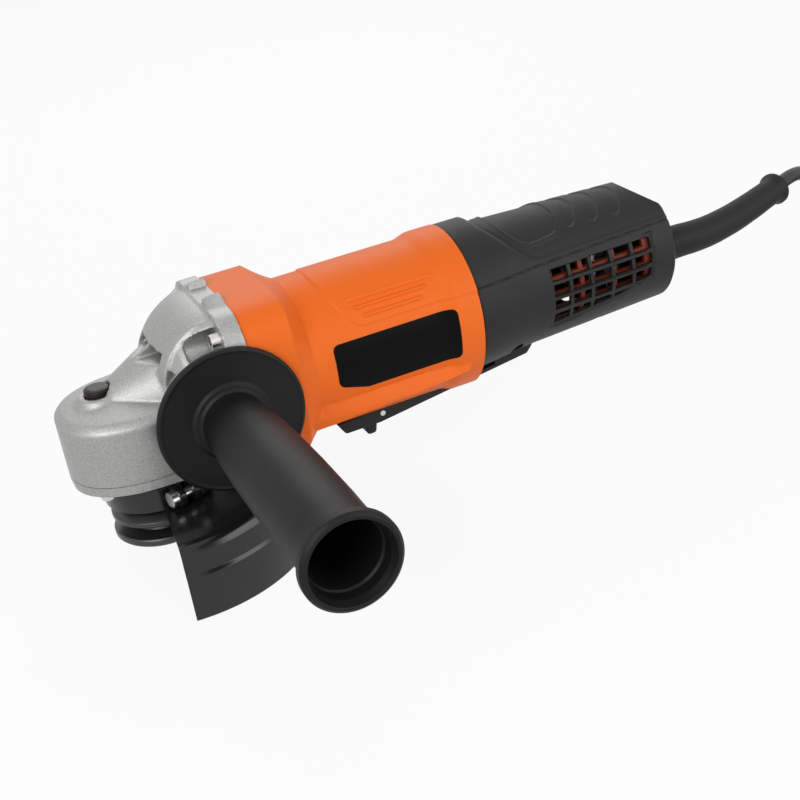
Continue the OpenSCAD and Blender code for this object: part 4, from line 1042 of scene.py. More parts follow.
@dataclass
class Lead(Assembly):
    """Mains lead with its guard, coil, tie and plug.

    Attributes:
        diameter: Diameter of the lead.
        start: Mouth of the lead guard.
        guard_line: Points of the guard's middle line.
        run: Points from the guard to the coil.
        plug_run: Places along X and heights of the points from the coil to the plug.
        centre: Middle of the coil.
        turns: Turns in each layer of the coil.
        per_turn: Points in each turn.
        radii: Outer and inner radius of the turns.
        layers: Heights of the two layers.
        plug_x: Where the lead enters the plug.
        plug_y: Place of the plug's middle line across.
        plug_z: Its height.
        plug_len: Length of the plug's body.
        pin_gap: Distance between the pins.
        sides: Steps round the plug.
    """

    diameter: float = 7.0
    start: Point = (336, 14, 46.5)
    guard_line: tuple[Point, ...] = (
        (248.4, 0, 42), (253.5, 0, 42), (258.6, 0, 42), (263.8, 0, 42), (269, 0, 42),
        (273.7, 0.1, 41.7), (278.5, 0.3, 41.6), (283.3, 0.7, 41.6), (288, 1.2, 41.8),
        (292.8, 1.9, 42.2), (297.7, 2.7, 42.6), (302.5, 3.6, 43.1), (307.3, 4.7, 43.7),
        (312.1, 5.9, 44.3), (317, 7.3, 44.8), (321.8, 8.8, 45.4), (326.5, 10.4, 45.8),
        (331.3, 12.1, 46.2),
    )
    run: tuple[Point, ...] = (
        (344, 18, 46.9), (352, 22, 46.2), (360, 26, 44), (368, 30, 40.2), (376, 33.9, 34.7),
        (384, 37.7, 27.8), (392, 41.4, 19.8), (400, 45, 11.4), (408, 48.5, 3.2), (416, 51.8, -4),
        (424, 54.9, -9.8), (433, 58, -13.8), (442, 60.7, -15.6), (452, 63.2, -15.7),
    )
    plug_run: tuple[Point, ...] = (
        (452, -8.9), (442, -9.6), (432, -10.7), (422, -11.7), (413, -12.4),
    )
    centre: tuple[float, float] = (462, 14.5)
    turns: float = 3.5
    per_turn: int = 16
    radii: tuple[float, float] = (50.0, 25.5)
    layers: tuple[float, float] = (-15.7, -8.7)
    plug_x: float = 404.0
    plug_y: float = -35.5
    plug_z: float = -12.6
    plug_len: float = 44.0
    pin_gap: float = 19.0
    sides: int = 72

    def coil(self) -> list[Point]:
        """Points of the two-layer coil, wound in along the floor and out on top.

        Returns:
            The points.
        """
        wide, tight = self.radii
        low, high = self.layers
        points = []
        steps = round(self.turns * self.per_turn)
        climb = self.per_turn // 2
        for i in range(2 * steps + climb + 1):
            angle = math.pi / 2 - 2 * math.pi * i / self.per_turn
            if i <= steps:
                radius, z = wide + (tight - wide) * i / steps, low
            elif i <= steps + climb:
                radius, z = tight, low + (high - low) * smooth((i - steps) / climb)
            else:
                radius, z = tight + (wide - tight) * (i - steps - climb) / steps, high
            x = self.centre[0] + radius * math.cos(angle)
            y = self.centre[1] + radius * math.sin(angle)
            points.append((x, y, z))
        return points

    def build(self) -> None:
        """Makes what is on the lead, then the lead and its guard."""
        plug = self._plug()
        pins = self._pins()
        tie = self._tie()
        to_plug = [(x, self.plug_y, z) for x, z in self.plug_run]
        plug_end = (self.plug_x, self.plug_y, self.plug_z)
        route = [self.start, *self.run, *self.coil(), *to_plug, plug_end]
        curve = bpy.data.curves.new("mains_lead", "CURVE")
        curve.dimensions = "3D"
        curve.bevel_depth = 1.0
        curve.bevel_resolution = 5
        curve.use_fill_caps = True
        curve.resolution_u = 5
        spline = curve.splines.new("BEZIER")
        spline.bezier_points.add(len(route) - 1)
        for knot, point in zip(spline.bezier_points, route):
            knot.co = Vector(point) * MM
            knot.radius = self.diameter / 2 * MM
            knot.handle_left_type = knot.handle_right_type = "AUTO"
        obj = linked("mains_lead", curve)
        self.settle(obj, "black_lead", "root", "power_cord", "cord_coil", "cord_end")
        length = self._length(obj)
        LOG.info("lead is %.3f m long", length)
        self._guard()

    @staticmethod
    def _length(obj: bpy.types.Object) -> float:
        """Measures the line of a curve object.

        Args:
            obj: The object, which is left as it was.

        Returns:
            The length, in m.
        """
        depth, obj.data.bevel_depth = obj.data.bevel_depth, 0.0
        fill, obj.data.use_fill_caps = obj.data.use_fill_caps, False
        graph = bpy.context.evaluated_depsgraph_get()
        graph.update()
        mesh = obj.evaluated_get(graph).to_mesh()
        line = np.array([v.co for v in mesh.vertices])
        obj.data.bevel_depth, obj.data.use_fill_caps = depth, fill
        return float(np.linalg.norm(np.diff(line, axis=0), axis=1).sum())

    def _guard(self) -> None:
        """Makes the tapered lead guard, with a neck in the handle's wall and a rolled lip."""
        steps = 72
        knots = np.array([*self.guard_line, self.start], dtype=float)
        at = np.concatenate([[0.0], np.cumsum(np.linalg.norm(np.diff(knots, axis=0), axis=1))])
        even = np.linspace(at[0], at[-1], steps + 1)
        line = [(236.3, 0, 42), (240.2, 0, 42), (240.25, 0, 42), (248.3, 0, 42)]
        line += list(np.stack([np.interp(even, at, knots[:, k]) for k in range(3)], axis=1))
        radii = [9.2, 9.2, 6.8, 6.8]
        for i in range(steps + 1):
            t = i / steps
            taper = 8.3 - 2.0 * t**0.9
            root = 0.4 * math.exp(-((t / 0.03) ** 2))
            lip = 1.7 * math.exp(-(((t - 0.965) / 0.024) ** 2))
            tail = 1.2 * max(0.0, (t - 0.98) / 0.02)
            radii.append(taper + root + lip - tail)
        obj = sweep("lead_guard", line, radii, sides=40)
        self.settle(obj, "black_rubber", "root", "cord_guard")

    def _plug(self) -> bpy.types.Object:
        """Makes the moulded plug body with its grip ribs.

        Returns:
            The piece.
        """
        x = self.plug_x
        face = x - self.plug_len
        # place along X, half width, half height and squareness of each section
        stations = [
            (face, 13.6, 6.2, 4.0), (face + 0.3, 14.3, 6.9, 4.0),
            (face + 1.2, 15.0, 7.4, 4.0), (x - 27, 15.0, 7.4, 3.6), (x - 22, 13.6, 7.3, 3.0),
            (x - 17, 9.6, 7.0, 2.4), (x - 13, 6.6, 6.4, 2.0), (x - 8, 5.7, 5.7, 2.0), (x - 2, 4.7, 4.7, 2.0),
            (x, 4.5, 4.5, 2.0),
        ]
        xs = np.array([s[0] for s in stations])
        dense = np.unique(np.concatenate([xs, np.arange(xs[0] + 1.2, xs[-1], 0.5)]))
        angles = np.linspace(0, 2 * math.pi, self.sides, endpoint=False)
        c, s = np.cos(angles), np.sin(angles)
        rings = []
        for at in dense:
            wide, tall, power = (np.interp(at, xs, [s[i] for s in stations]) for i in (1, 2, 3))
            rib = 0.35 * max(0.0, math.sin((at - x) * 1.6)) if x - 30 < at < x - 18 else 0.0
            size = (np.abs(c) ** power + np.abs(s) ** power) ** (-1 / power)
            across, up = self.plug_y + (wide - rib) * c * size, self.plug_z + tall * s * size
            rings.append(np.stack([0 * c + at, across, up], axis=1))
        points = np.concatenate(rings)
        faces = grid_faces(len(rings), self.sides)
        faces += [tuple(range(self.sides)), tuple(range(len(points) - self.sides, len(points)))]
        obj = as_object("plug", points, faces, 45)
        return self.settle(obj, "black_rubber", "root", "plug_body")

    def _pins(self) -> bpy.types.Object:
        """Makes the two round pins.

        Returns:
            The piece.
        """
        face = self.plug_x - self.plug_len
        profile = rounded([(0, -2), (2.4, -2), (2.4, 19, 1.3), (0, 19)])
        pins = []
        for side in (-1, 1):
            place = Matrix.Translation((face, self.plug_y + side * self.pin_gap / 2, self.plug_z))
            pins.append(lathe("pin", profile, place @ Matrix.Rotation(-math.pi / 2, 4, "Y"), 40))
        obj = joined("plug_pins_round", pins)
        return self.settle(obj, "plug_metal", "root", "plug_pins")

    def _tie(self) -> bpy.types.Object:
        """Makes the flat tie round the coil.

        Returns:
            The piece.
        """
        x0, x1, z0, z1 = 483.1, 516.4, -19.6, -4.8
        line = rounded([(x0, z0, 2.5), (x1, z0, 2.5), (x1, z1, 2.5), (x0, z1, 2.5)], closed=True, steps=6)
        middle = np.array([(x0 + x1) / 2, (z0 + z1) / 2])
        thick, wide = 0.38, 4.0
        points = []
        for u, v in line:
            way = np.array([u, v]) - middle
            way /= np.linalg.norm(way)
            for grow, y in ((-thick, -wide), (thick, -wide), (thick, wide), (-thick, wide)):
                points.append((u + way[0] * grow, self.centre[1] + y, v + way[1] * grow))
        obj = as_object("coil_tie", points, grid_faces(len(line), 4, wrap_rows=True))
        return self.settle(obj, "black_rubber", "root", "cord_tie")


# ---------------------------------------------------------------- gear case


@dataclass
class GearCase(Assembly):
    """Cast gear case: a nose that widens to the flange, with a dome and two vents on top.

    Heights in this class are counted from the motor axis.

    Attributes:
        case_half: Half width over the crown gear.
        nose_x: Reach of the nose in front of the spindle.
        joint_x: Rear face of the flange.
        flange_half: Half width of the flange.
        flange_top: Half height of the flange.
        corner: Corner radius of the flange.
        button_x: Place of the lock button in front of the spindle.
        boss_r: Radius of the top of the button's boss.
        boss_top: Height of the button's boss.
        floor: Height of the casting's flat underside.
        side_x: Place of the side handle's axis.
        side_z: Its height.
        cell: Cell size of the mesh.
    """

    case_half: float = 28.0
    nose_x: float = 33.0
    joint_x: float = 42.6
    flange_half: float = 34.8
    flange_top: float = 35.5
    corner: float = 14.0
    button_x: float = 13.6
    boss_r: float = 8.3
    boss_top: float = 8.2
    floor: float = -23.98
    side_x: float = 30.0
    side_z: float = -4.0
    cell: float = 0.72

    def plan(self) -> list[tuple[float, float]]:
        """Outline of the case seen from above.

        Returns:
            Its corners, from the flange round the nose and back.
        """
        widest, power, steps = 5, 2.4, 24
        side = []
        for i in range(steps + 1):
            x = widest - (widest + self.nose_x) * math.sin(math.radians(90 * i / steps))
            share = min((widest - x) / (widest + self.nose_x), 1.0)
            side.append((x, self.case_half * (1 - share**power) ** (1 / power)))
        wide = self.flange_half - 0.4
        half = [(self.joint_x, wide), *side]
        return half + [(x, -y) for x, y in reversed(half)]

    def field(self, x: np.ndarray, y: np.ndarray, z: np.ndarray) -> np.ndarray:
        """Field of the casting. A factor on a field brings its slope back to about 1.

        Args:
            x: Places behind the spindle.
            y: Places across.
            z: Heights above the motor axis.

        Returns:
            The field, negative inside.
        """
        a = np.abs(y)
        plan = outline_field(x, y, self.plan())
        # lower block with a chamfered shoulder and a deck that rises inwards
        block = blend_max(plan, (plan + z - 0.6) / 1.4, 1.0)
        block = blend_max(block, (z - 2.8 + 0.2 * plan) * 0.98, 0.8)
        block = blend_max(block, self.floor - z, 0.6)
        block = cut(block, rod_field(x + self.button_x, y, z, self.boss_top, 30, self.boss_r), 0.6)
        # cone from the nose to the flange
        t = np.clip((x + 14) / 50, 0, 1)
        cone = np.sqrt(y * y + z * z + (x + 14 - 50 * t) ** 2) - (8.6 + 26.2 * t)
        body = blend_min(block, cone * 0.88, 0.5)
        # tapered boss of the lock button
        taper = 0.54 * np.maximum(self.boss_top - z, 0)
        boss = (np.hypot(x + self.button_x, y) - self.boss_r - taper) * 0.88
        boss = blend_max(boss, z - self.boss_top, 0.8)
        body = blend_min(body, np.maximum(boss, -6 - z), 1.0)
        # dome above the vents
        crown = 3.9 + np.sqrt(np.maximum(31.5**2 - (x - 37) ** 2, 1.0))
        dome = ((a**3 + np.abs(z) ** 3) ** (1 / 3) - crown) * 0.75
        dome = blend_max(blend_max(dome, a - 19.5, 0.6), 4 - x, 0.4)
        dome = blend_max(dome, 8 - z, 0.4)
        dome = cut(dome, np.maximum(a - 14.6, z - 22.4), 0.3)
        # bosses of the screw pockets, with a sloping top
        pocket = rod_field(a - FLANGE_SCREW + 0.7, z - FLANGE_SCREW + 0.7, x, 2, 42, 9.4)
        behind = (2, 10, 14.4, 18, 24, 28.8, 31.9, 36.1)
        reach = np.interp(x, behind, (12, 22, 27.5, 31.5, 35.5, 38, 40, 42.8))
        body = blend_min(body, blend_max(pocket, (np.hypot(a, z) - reach) * 0.75, 0.8), 1.2)
        # vents under the dome's lip
        slot = box_field((x, a, z), (-2, 1.1, 17.6), (24, 14.6, 26), 1.0)
        slot = blend_max(slot, x - 24, 0.3)
        body = cut(body, slot, 0.5)
        body = blend_min(body, dome, 0.9)
        # flange with two pads on its top
        ring = plate_field(a - self.flange_half, np.abs(z) - self.flange_top, self.corner)
        flange = blend_max(ring, np.abs(x - self.joint_x + 4.3) - 4.3, 0.7)
        body = blend_min(body, flange, 1.2)
        tilt = math.radians(22)
        along = (a - 13) * math.cos(tilt) - (z - 34.4) * math.sin(tilt)
        over = (a - 13) * math.sin(tilt) + (z - 34.4) * math.cos(tilt)
        pad_top = 3.0 - 0.25 * np.maximum(38 - x, 0)
        pad = box_field((x, along, over), (34.8, -5.0, -6), (42.6, 5.0, pad_top), 0.5)
        body = blend_min(body, pad, 0.5)
        pin = rod_field(a - 6.2, z - 33.2, x, 30, 36.8, 1.1)
        body = blend_min(body, pin, 0.3)
        # bosses of the side handle
        face = self.flange_half + 0.2
        body = blend_min(body, rod_field(x - self.side_x, z - self.side_z, a, 18, face, 12), 1.5)
        body = blend_max(body, self.floor - z, 0.4)
        body = np.maximum(body, x - self.joint_x)
        return self._hollow(body, x, a, z)

    def _hollow(self, body: np.ndarray, x: np.ndarray, a: np.ndarray, z: np.ndarray) -> np.ndarray:
        """Cuts the pockets, ducts and bores out of the casting.

        Args:
            body: Field of the solid casting.
            x: Places behind the spindle.
            a: Distance from the middle plane.
            z: Heights above the motor axis.

        Returns:
            The field.
        """
        off = FLANGE_SCREW
        scoop = stroke(a, z, (off, off), (off + 15, off + 8), 5.6)
        screw = blend_max(scoop, np.abs(x - 27.25) - 6.75, 1.5)
        low_screw = rod_field(a - off, z + off, x, 17.5, 34, 5.6)
        body = cut(body, np.minimum(screw, low_screw), 0.5)
        chamber = rod_field(x, a, z, -40, -3, 24.5)
        fan = rod_field(a, z, x, 38, 60, 30.6)
        tunnel = rod_field(a, z, x, 8, 60, 9)
        bearing = rod_field(a, z, x, 28, 38.1, 16.02)
        plate = box_field((x, a, z), (-60, -60, -60), (19.1, 60, -24), 0)
        duct = box_field((x, a, z), (4, 5, 17.8), (50, 14, 22.0), 0.5)
        bore = rod_field(x + self.button_x, a, z, -4, 20, 5.8)
        stud = rod_field(x - self.side_x, z - self.side_z, a, self.flange_half + 0.2 - 14, 60, 3.4)
        for tool in (chamber, fan, tunnel, bearing, plate, bore, stud):
            body = np.maximum(body, -tool)
        return cut(body, duct, 0.3)

    def build(self) -> None:
        """Makes the casting and the button in its boss."""
        low = (-self.nose_x - 2, -37.5, -25.5)
        high = (self.joint_x + 1.6, 37.5, 39.5)
        obj = skin("gear_casting", self.field, low, high, self.cell)
        raise_by(obj, AXIS_Z)
        self.settle(obj, "cast_aluminium", "root", "gear_case")
        stem = [(0, 42), (1.9, 42), (1.9, 57.6)]
        cap = [(5.5, 57.8, 0.3), (5.5, 60.6, 1.0), (3.4, 61.0, 1.5), (0, 60.9)]
        place = Matrix.Translation((-self.button_x, 0, 0))
        button = lathe("lock_button_cap", rounded([*stem, *cap], steps=6), place, 64)
        self.settle(button, "button_black", "lock_button_body", "lock_button")


def raise_by(obj: bpy.types.Object, height: float) -> None:
    """Moves an object's mesh up by a height in mm."""
    obj.data.transform(Matrix.Translation((0, 0, height * MM)))


# ---------------------------------------------------------------- side handle, spindle and guard


@dataclass
class SideHandle(Assembly):
    """Side handle: flange disc, waisted grip and a ringed hollow end.

    Attributes:
        x: Place of its axis.
        z: Height of its axis.
        seat: Where it starts.
        end: Where it ends.
        disc: Radius of the flange disc.
        grip: Radius of the grip.
        ring: Radius of the ring at its end.
        hollow: Radius of the hollow.
        stud: Radius of the stud.
    """

    x: float = 30.0
    z: float = 46.0
    seat: float = 35.0
    end: float = 161.7
    disc: float = 31.0
    grip: float = 16.1
    ring: float = 18.9
    hollow: float = 13.8
    stud: float = 3.35

    def build(self) -> None:
        """Turns the grip and its stud."""
        s, e, g = self.seat, self.end, self.grip
        profile = rounded(
            [
                (self.stud + 0.02, s), (12.5, s), (12.5, s + 0.6), (self.disc - 0.4, s + 0.6, 0.4),
                (self.disc, s + 1.2, 0.6), (self.disc, s + 2.9, 0.8), (self.disc - 1.2, s + 3.5, 0.6),
                (self.disc - 2.4, s + 3.2, 0.5), (16.8, s + 3.4, 0.8), (15.6, s + 4.4, 0.6),
                (14.4, s + 4.6, 0.5), (13.2, s + 5.6, 0.7), (12.9, s + 8.5, 1.5), (13.0, s + 11, 1.5),
                (g - 2.4, s + 15, 8),
                (g - 1.2, s + 28, 10), (g - 0.4, s + 46, 20), (g, s + 68, 20), (g, s + 95, 20),
                (g - 0.4, e - 14, 5), (g - 0.3, e - 6.8, 1.0),
                (self.ring - 0.6, e - 5.6, 0.8), (self.ring, e - 4, 1.2), (self.ring, e - 1.2, 1.0),
                (self.ring - 1.4, e, 0.9), (self.ring - 2.6, e, 0.5), (self.ring - 3.2, e - 1.6, 0.6),
                (self.hollow + 1.1, e - 3.4, 0.8), (self.hollow + 0.9, e - 7.5, 1.0),
                (self.hollow, e - 8.4, 0.8), (self.hollow - 0.6, e - 60, 10),
                (self.hollow - 2.4, 66, 3), (10, 60.2, 2), (6.02, 60),
                (6.02, 52.2), (self.stud + 0.02, 52.2),
            ],
            closed=True,
        )
        grip = lathe("side_grip", profile, along_y(self.x, self.z), 128, closed=True)
        self.settle(grip, "black_grip", "side_handle", "side_handle_grip")
        rod = [(0, 22.5), (self.stud, 22.8, 0.4), (self.stud, 52)]
        head = [(6, 52, 0.3), (6, 57, 0.8), (2.8, 57), (2.8, 54.6), (0, 54.6)]
        stud = lathe("side_stud", rounded([*rod, *head]), along_y(self.x, self.z), 48)
        self.settle(stud, "bright_steel", "side_handle", "side_handle_stud")


@dataclass
class SpindleSet(Assembly):
    """Inner flange and lock nut on the spindle.

    Attributes:
        nut_r: Radius of the lock nut's rim.
        flange_r: Radius of the inner flange.
        spanner_r: Radius of the spanner holes.
        spanner_off: Their distance from the axis.
    """

    nut_r: float = 21.2
    flange_r: float = 20.7
    spanner_r: float = 2.5
    spanner_off: float = 15.0

    def build(self) -> None:
        """Turns the flange and the nut."""
        f = self.flange_r
        flange = rounded(
            [
                (7.22, -2.5), (11, -2.5, 0.3), (11, 0, 0.3), (f - 0.5, 0, 0.3), (f, 0.6, 0.4), (f, 2.4, 0.5),
                (f - 3, 4.6, 0.8), (14, 6, 1.0), (12.5, 8.2, 0.6), (9, 8.2, 0.2), (9, 9.15, 0.2),
                (7.22, 9.15),
            ],
            closed=True,
        )
        obj = lathe("inner_flange_turned", flange, Matrix.Identity(4), 96, closed=True)
        self.settle(obj, "dark_steel", "spindle_set", "inner_flange")
        n = self.nut_r
        nut = rounded(
            [
                (6.95, -9.2, 0.3), (n - 1.0, -9.2, 0.4), (n, -8.2, 0.5), (n, -6.0, 0.4), (n - 0.5, -5.4, 0.3),
                (13.1, -5.4, 0.6), (12, -2.55, 0.5), (6.95, -2.55, 0.3),
            ],
            closed=True,
        )
        obj = lathe("lock_nut_turned", nut, Matrix.Identity(4), 96, closed=True)
        hole = [(0, -12), (self.spanner_r, -12), (self.spanner_r, -6.2), (0, -6.2)]
        seats = [Matrix.Translation((side * self.spanner_off, 0, 0)) for side in (-1, 1)]
        drilled(obj, [lathe("hole", hole, seat, 32) for seat in seats])
        self.settle(obj, "dark_steel", "lock_nut_body", "lock_nut")


def drilled(obj: bpy.types.Object, tools: Sequence[bpy.types.Object]) -> bpy.types.Object:
    """Cuts tools out of an object and removes them.

    Args:
        obj: The object, changed in place.
        tools: Closed objects.

    Returns:
        The same object.
    """
    for tool in tools:
        mod = obj.modifiers.new("cut", "BOOLEAN")
        mod.operation = "DIFFERENCE"
        mod.solver = "EXACT"
        mod.object = tool
    baked(obj)
    for tool in tools:
        discard(tool)
    return obj


@dataclass
class Guard(Assembly):
    """Sheet guard and its clamping band.

    Attributes:
        radius: Outer radius.
        sheet: Thickness of the sheet.
        drop: Depth below the disc seat.
        spread: Angle that it covers.
        hub: Radius of the band.
        neck: Radius of the neck that the band clamps on.
        ear_angle: Direction of the band's ears.
        ear_gap: Half of the angle that the band leaves open between them.
    """

    radius: float = 65.1
    sheet: float = 1.6
    drop: float = 20.0
    spread: float = 194.0
    hub: float = 22.05
    neck: float = 20.05
    ear_angle: float = -74.0
    ear_gap: float = 5.3

    def build(self) -> None:
        """Makes the sheet and the band with its ears."""
        r, t, d = self.radius, self.sheet, self.drop
        profile = rounded(
            [
                (self.hub, 10.0, 0.2), (r - 6, 13.0, 1.5), (r - 2.4, 12.6, 2.6), (r - 1.0, 9.0, 2.4),
                (r - 1.0, 0.6, 0.8), (r, -0.8, 0.8), (r, -d + 0.4, 0.4), (r - 0.3, -d, 0.3), (r - t, -d, 0.3),
                (r - t, -1.4, 0.8), (r - 1 - t, 0, 0.8), (r - 1 - t, 9.0, 1.6), (r - 3.4, 11.1, 1.2),
                (r - 6, 11.4, 1.0), (self.hub, 8.4, 0.2),
            ],
            closed=True,
            steps=6,
        )
        half = self.spread / 2
        sheet = lathe("guard_sheet", profile, Matrix.Identity(4), 160, closed=True, turn=(-half, half))
        self.settle(sheet, "guard_paint", "guard_set", "guard")
        band = [(self.neck, 8.4, 0.2), (self.hub, 8.4, 0.2), (self.hub, 18.6, 0.6), (self.neck, 18.6, 0.3)]
        round_hub = (self.ear_angle + self.ear_gap, self.ear_angle + 360 - self.ear_gap)
        profile = rounded(band, closed=True)
        ring = lathe("band_ring", profile, Matrix.Identity(4), 128, closed=True, turn=round_hub)
        ears = []
        turn = Matrix.Rotation(math.radians(self.ear_angle), 4, "Z")
        corners = [(20.9, 10.8, 0.5), (30.5, 10.8, 3.0), (30.5, 18.6, 3.0), (20.9, 18.6, 0.5)]
        for side in (-1, 1):
            ear = slab("ear", rounded(corners, closed=True), side * 3.5 - 1.5, side * 3.5 + 1.5, 0.4)
            ear.data.transform(turn)
            ears.append(ear)
        band_obj = joined("guard_band_formed", [ring, *ears])
        self.settle(band_obj, "guard_paint", "guard_set", "guard_band")


# ---------------------------------------------------------------- paddle


@dataclass
class Paddle(Assembly):
    """Paddle lever and the lock-off lever in it.

    Heights in this class are counted from the motor axis.

    Attributes:
        front: Front end of the paddle.
        end: Rear end of its wide part.
        half: Half width.
        low: Height of its underside.
        top: Height of its upper edge.
        lock: Pivot of the lock-off lever.
        hinge: Hinge pin of the paddle.
    """

    front: float = 80.0
    end: float = 177.5
    half: float = 14.5
    low: float = -40.0
    top: float = -33.9
    lock: tuple[float, float] = (101.5, -36.0)
    hinge: tuple[float, float] = (200.0, -23.5)

    def build(self) -> None:
        """Makes the paddle and the lever."""
        bend, step = self.front + 20, self.end - 19.5
        outline = rounded(
            [
                (self.front, self.top - 0.7, 0.8), (self.front + 3.2, self.low, 2.0), (bend, self.low, 10),
                (self.end - 3, self.low + 9.1, 2.0), (self.end, self.low + 12.5, 1.5), (self.end, -26.3, 0.3),
                (step, -26.3, 0.3), (step, self.top + 2.7, 0.5), (step - 6, self.top + 2.1, 3),
                (bend, self.top, 10),
            ],
            closed=True,
        )
        main = slab("paddle_main", outline, -self.half, self.half, 1.1)
        u, v = self.lock
        below, above = self.low - 5, self.top + 3
        slot = [(u - 11.5, below), (u + 4, below), (u + 4, above), (u - 11.5, above)]
        drilled(main, [slab("slot", slot, -5.6, 5.6, 0)])
        pin = self.hinge[0]
        outline = [
            (self.end - 3.5, -26.3), (pin + 1, -26.3, 2.5), (pin + 2.7, -23.5, 2.5), (pin, -20.8, 2.5),
            (self.end - 1.5, -24.4, 0.5), (self.end - 3.5, -24.8),
        ]
        arm = slab("arm", rounded(outline, closed=True), -7.4, 7.4, 0.4)
        pad = slab("pad", [(166.5, -27), (169.5, -27), (169.5, -24.3), (166.5, -24.3)], -3, 3, 0.3)
        paddle = joined("paddle_moulding", [main, arm, pad])
        raise_by(paddle, AXIS_Z)
        self.settle(paddle, "black_housing", "paddle", "paddle_lever")
        outline = [
            (u - 2.3, v + 1.8, 0.8), (u - 5.9, v - 3.0, 1.5), (u - 5.9, v - 7.4, 3), (u - 5.2, v - 13.6, 1.8),
            (u - 0.9, v - 13.6, 1.8), (u + 0.9, v - 4.5, 3), (u + 2.1, v - 2.2, 0.8),
            (u + 2.2, v + 1.6, 1.5), (u, v + 2.3, 1.5),
        ]
        lever = slab("lock_lever", rounded(outline, closed=True), -5.0, 5.0, 0.6)
        raise_by(lever, AXIS_Z)
        self.settle(lever, "black_housing", "lock_off", "lock_off_lever")


# ---------------------------------------------------------------- moulded shells


@dataclass
class Shell:
    """Tube-like moulding given by its outer radius at each place along X and each angle.

    Angles are measured from straight up, towards -Y and +Y alike, so a moulding is
    symmetrical about the middle plane.

    Attributes:
        name: Name of the object.
        outer: Outer radius from x and angle.
        inner: Inner radius from x and angle.
        stations: Places along X.
        holes: Where there's no wall, from x and angle.
        angles: Number of steps round the moulding.
    """

    name: str
    outer: Callable[[np.ndarray, np.ndarray], np.ndarray]
    inner: Callable[[np.ndarray, np.ndarray], np.ndarray]
    stations: np.ndarray
    holes: Callable[[np.ndarray, np.ndarray], np.ndarray] | None = None
    angles: int = 400

    def build(self) -> bpy.types.Object:
        """Meshes both faces, the ends and the walls of the holes.

        Returns:
            The object.
        """
        turn = np.linspace(0, 2 * math.pi, self.angles, endpoint=False)
        x, t = np.meshgrid(self.stations, turn, indexing="ij")
        rows, cols = x.shape
        layers = []
        for radius in (self.outer(x, t), self.inner(x, t)):
            place = np.stack([x, -radius * np.sin(t), AXIS_Z + radius * np.cos(t)], axis=-1)
            layers.append(place.reshape(-1, 3))
        points = np.concatenate(layers)
        shift = rows * cols
        open_cell = np.zeros((rows - 1, cols), dtype=bool)
        if self.holes is not None:
            mid_x = (self.stations[1:] + self.stations[:-1])[:, None] / 2 + 0 * turn[None, :]
            mid_t = turn[None, :] + math.pi / cols + 0 * mid_x
            open_cell = self.holes(mid_x, mid_t)
        faces: list[tuple[int, ...]] = []
        for i in range(rows - 1):
            for k in range(cols):
                if open_cell[i, k]:
                    continue
                m = (k + 1) % cols
                a, b, c, d = i * cols + k, i * cols + m, (i + 1) * cols + m, (i + 1) * cols + k
                faces.append((a, b, c, d))
                faces.append((d + shift, c + shift, b + shift, a + shift))
                if i == 0 or open_cell[i - 1, k]:
                    faces.append((b, a, a + shift, b + shift))
                if i == rows - 2 or open_cell[i + 1, k]:
                    faces.append((d, c, c + shift, d + shift))
                if open_cell[i, (k - 1) % cols]:
                    faces.append((a, d, d + shift, a + shift))
                if open_cell[i, m]:
                    faces.append((c, b, b + shift, c + shift))
        return as_object(self.name, points, faces, 50)


def angle_off(t: np.ndarray) -> np.ndarray:
    """Angle from straight up, 0 to pi on either side."""
    return np.abs((t + math.pi) % (2 * math.pi) - math.pi)


def places(*runs: Sequence[float] | np.ndarray) -> np.ndarray:
    """Joins runs of places along X into one rising row."""
    return np.unique(np.concatenate(runs))


def stroke(u: np.ndarray, v: np.ndarray, a: Point, b: Point, half: float) -> np.ndarray:
    """Distance to a rounded bar between two points.

    Args:
        u: First coordinate of the samples.
        v: Second coordinate.
        a: One end of the bar's middle line.
        b: Its other end.
        half: Half width of the bar.

    Returns:
        The field.
    """
    ax, ay = a
    ex, ey = b[0] - ax, b[1] - ay
    t = np.clip(((u - ax) * ex + (v - ay) * ey) / (ex * ex + ey * ey), 0, 1)
    return np.hypot(u - ax - t * ex, v - ay - t * ey) - half


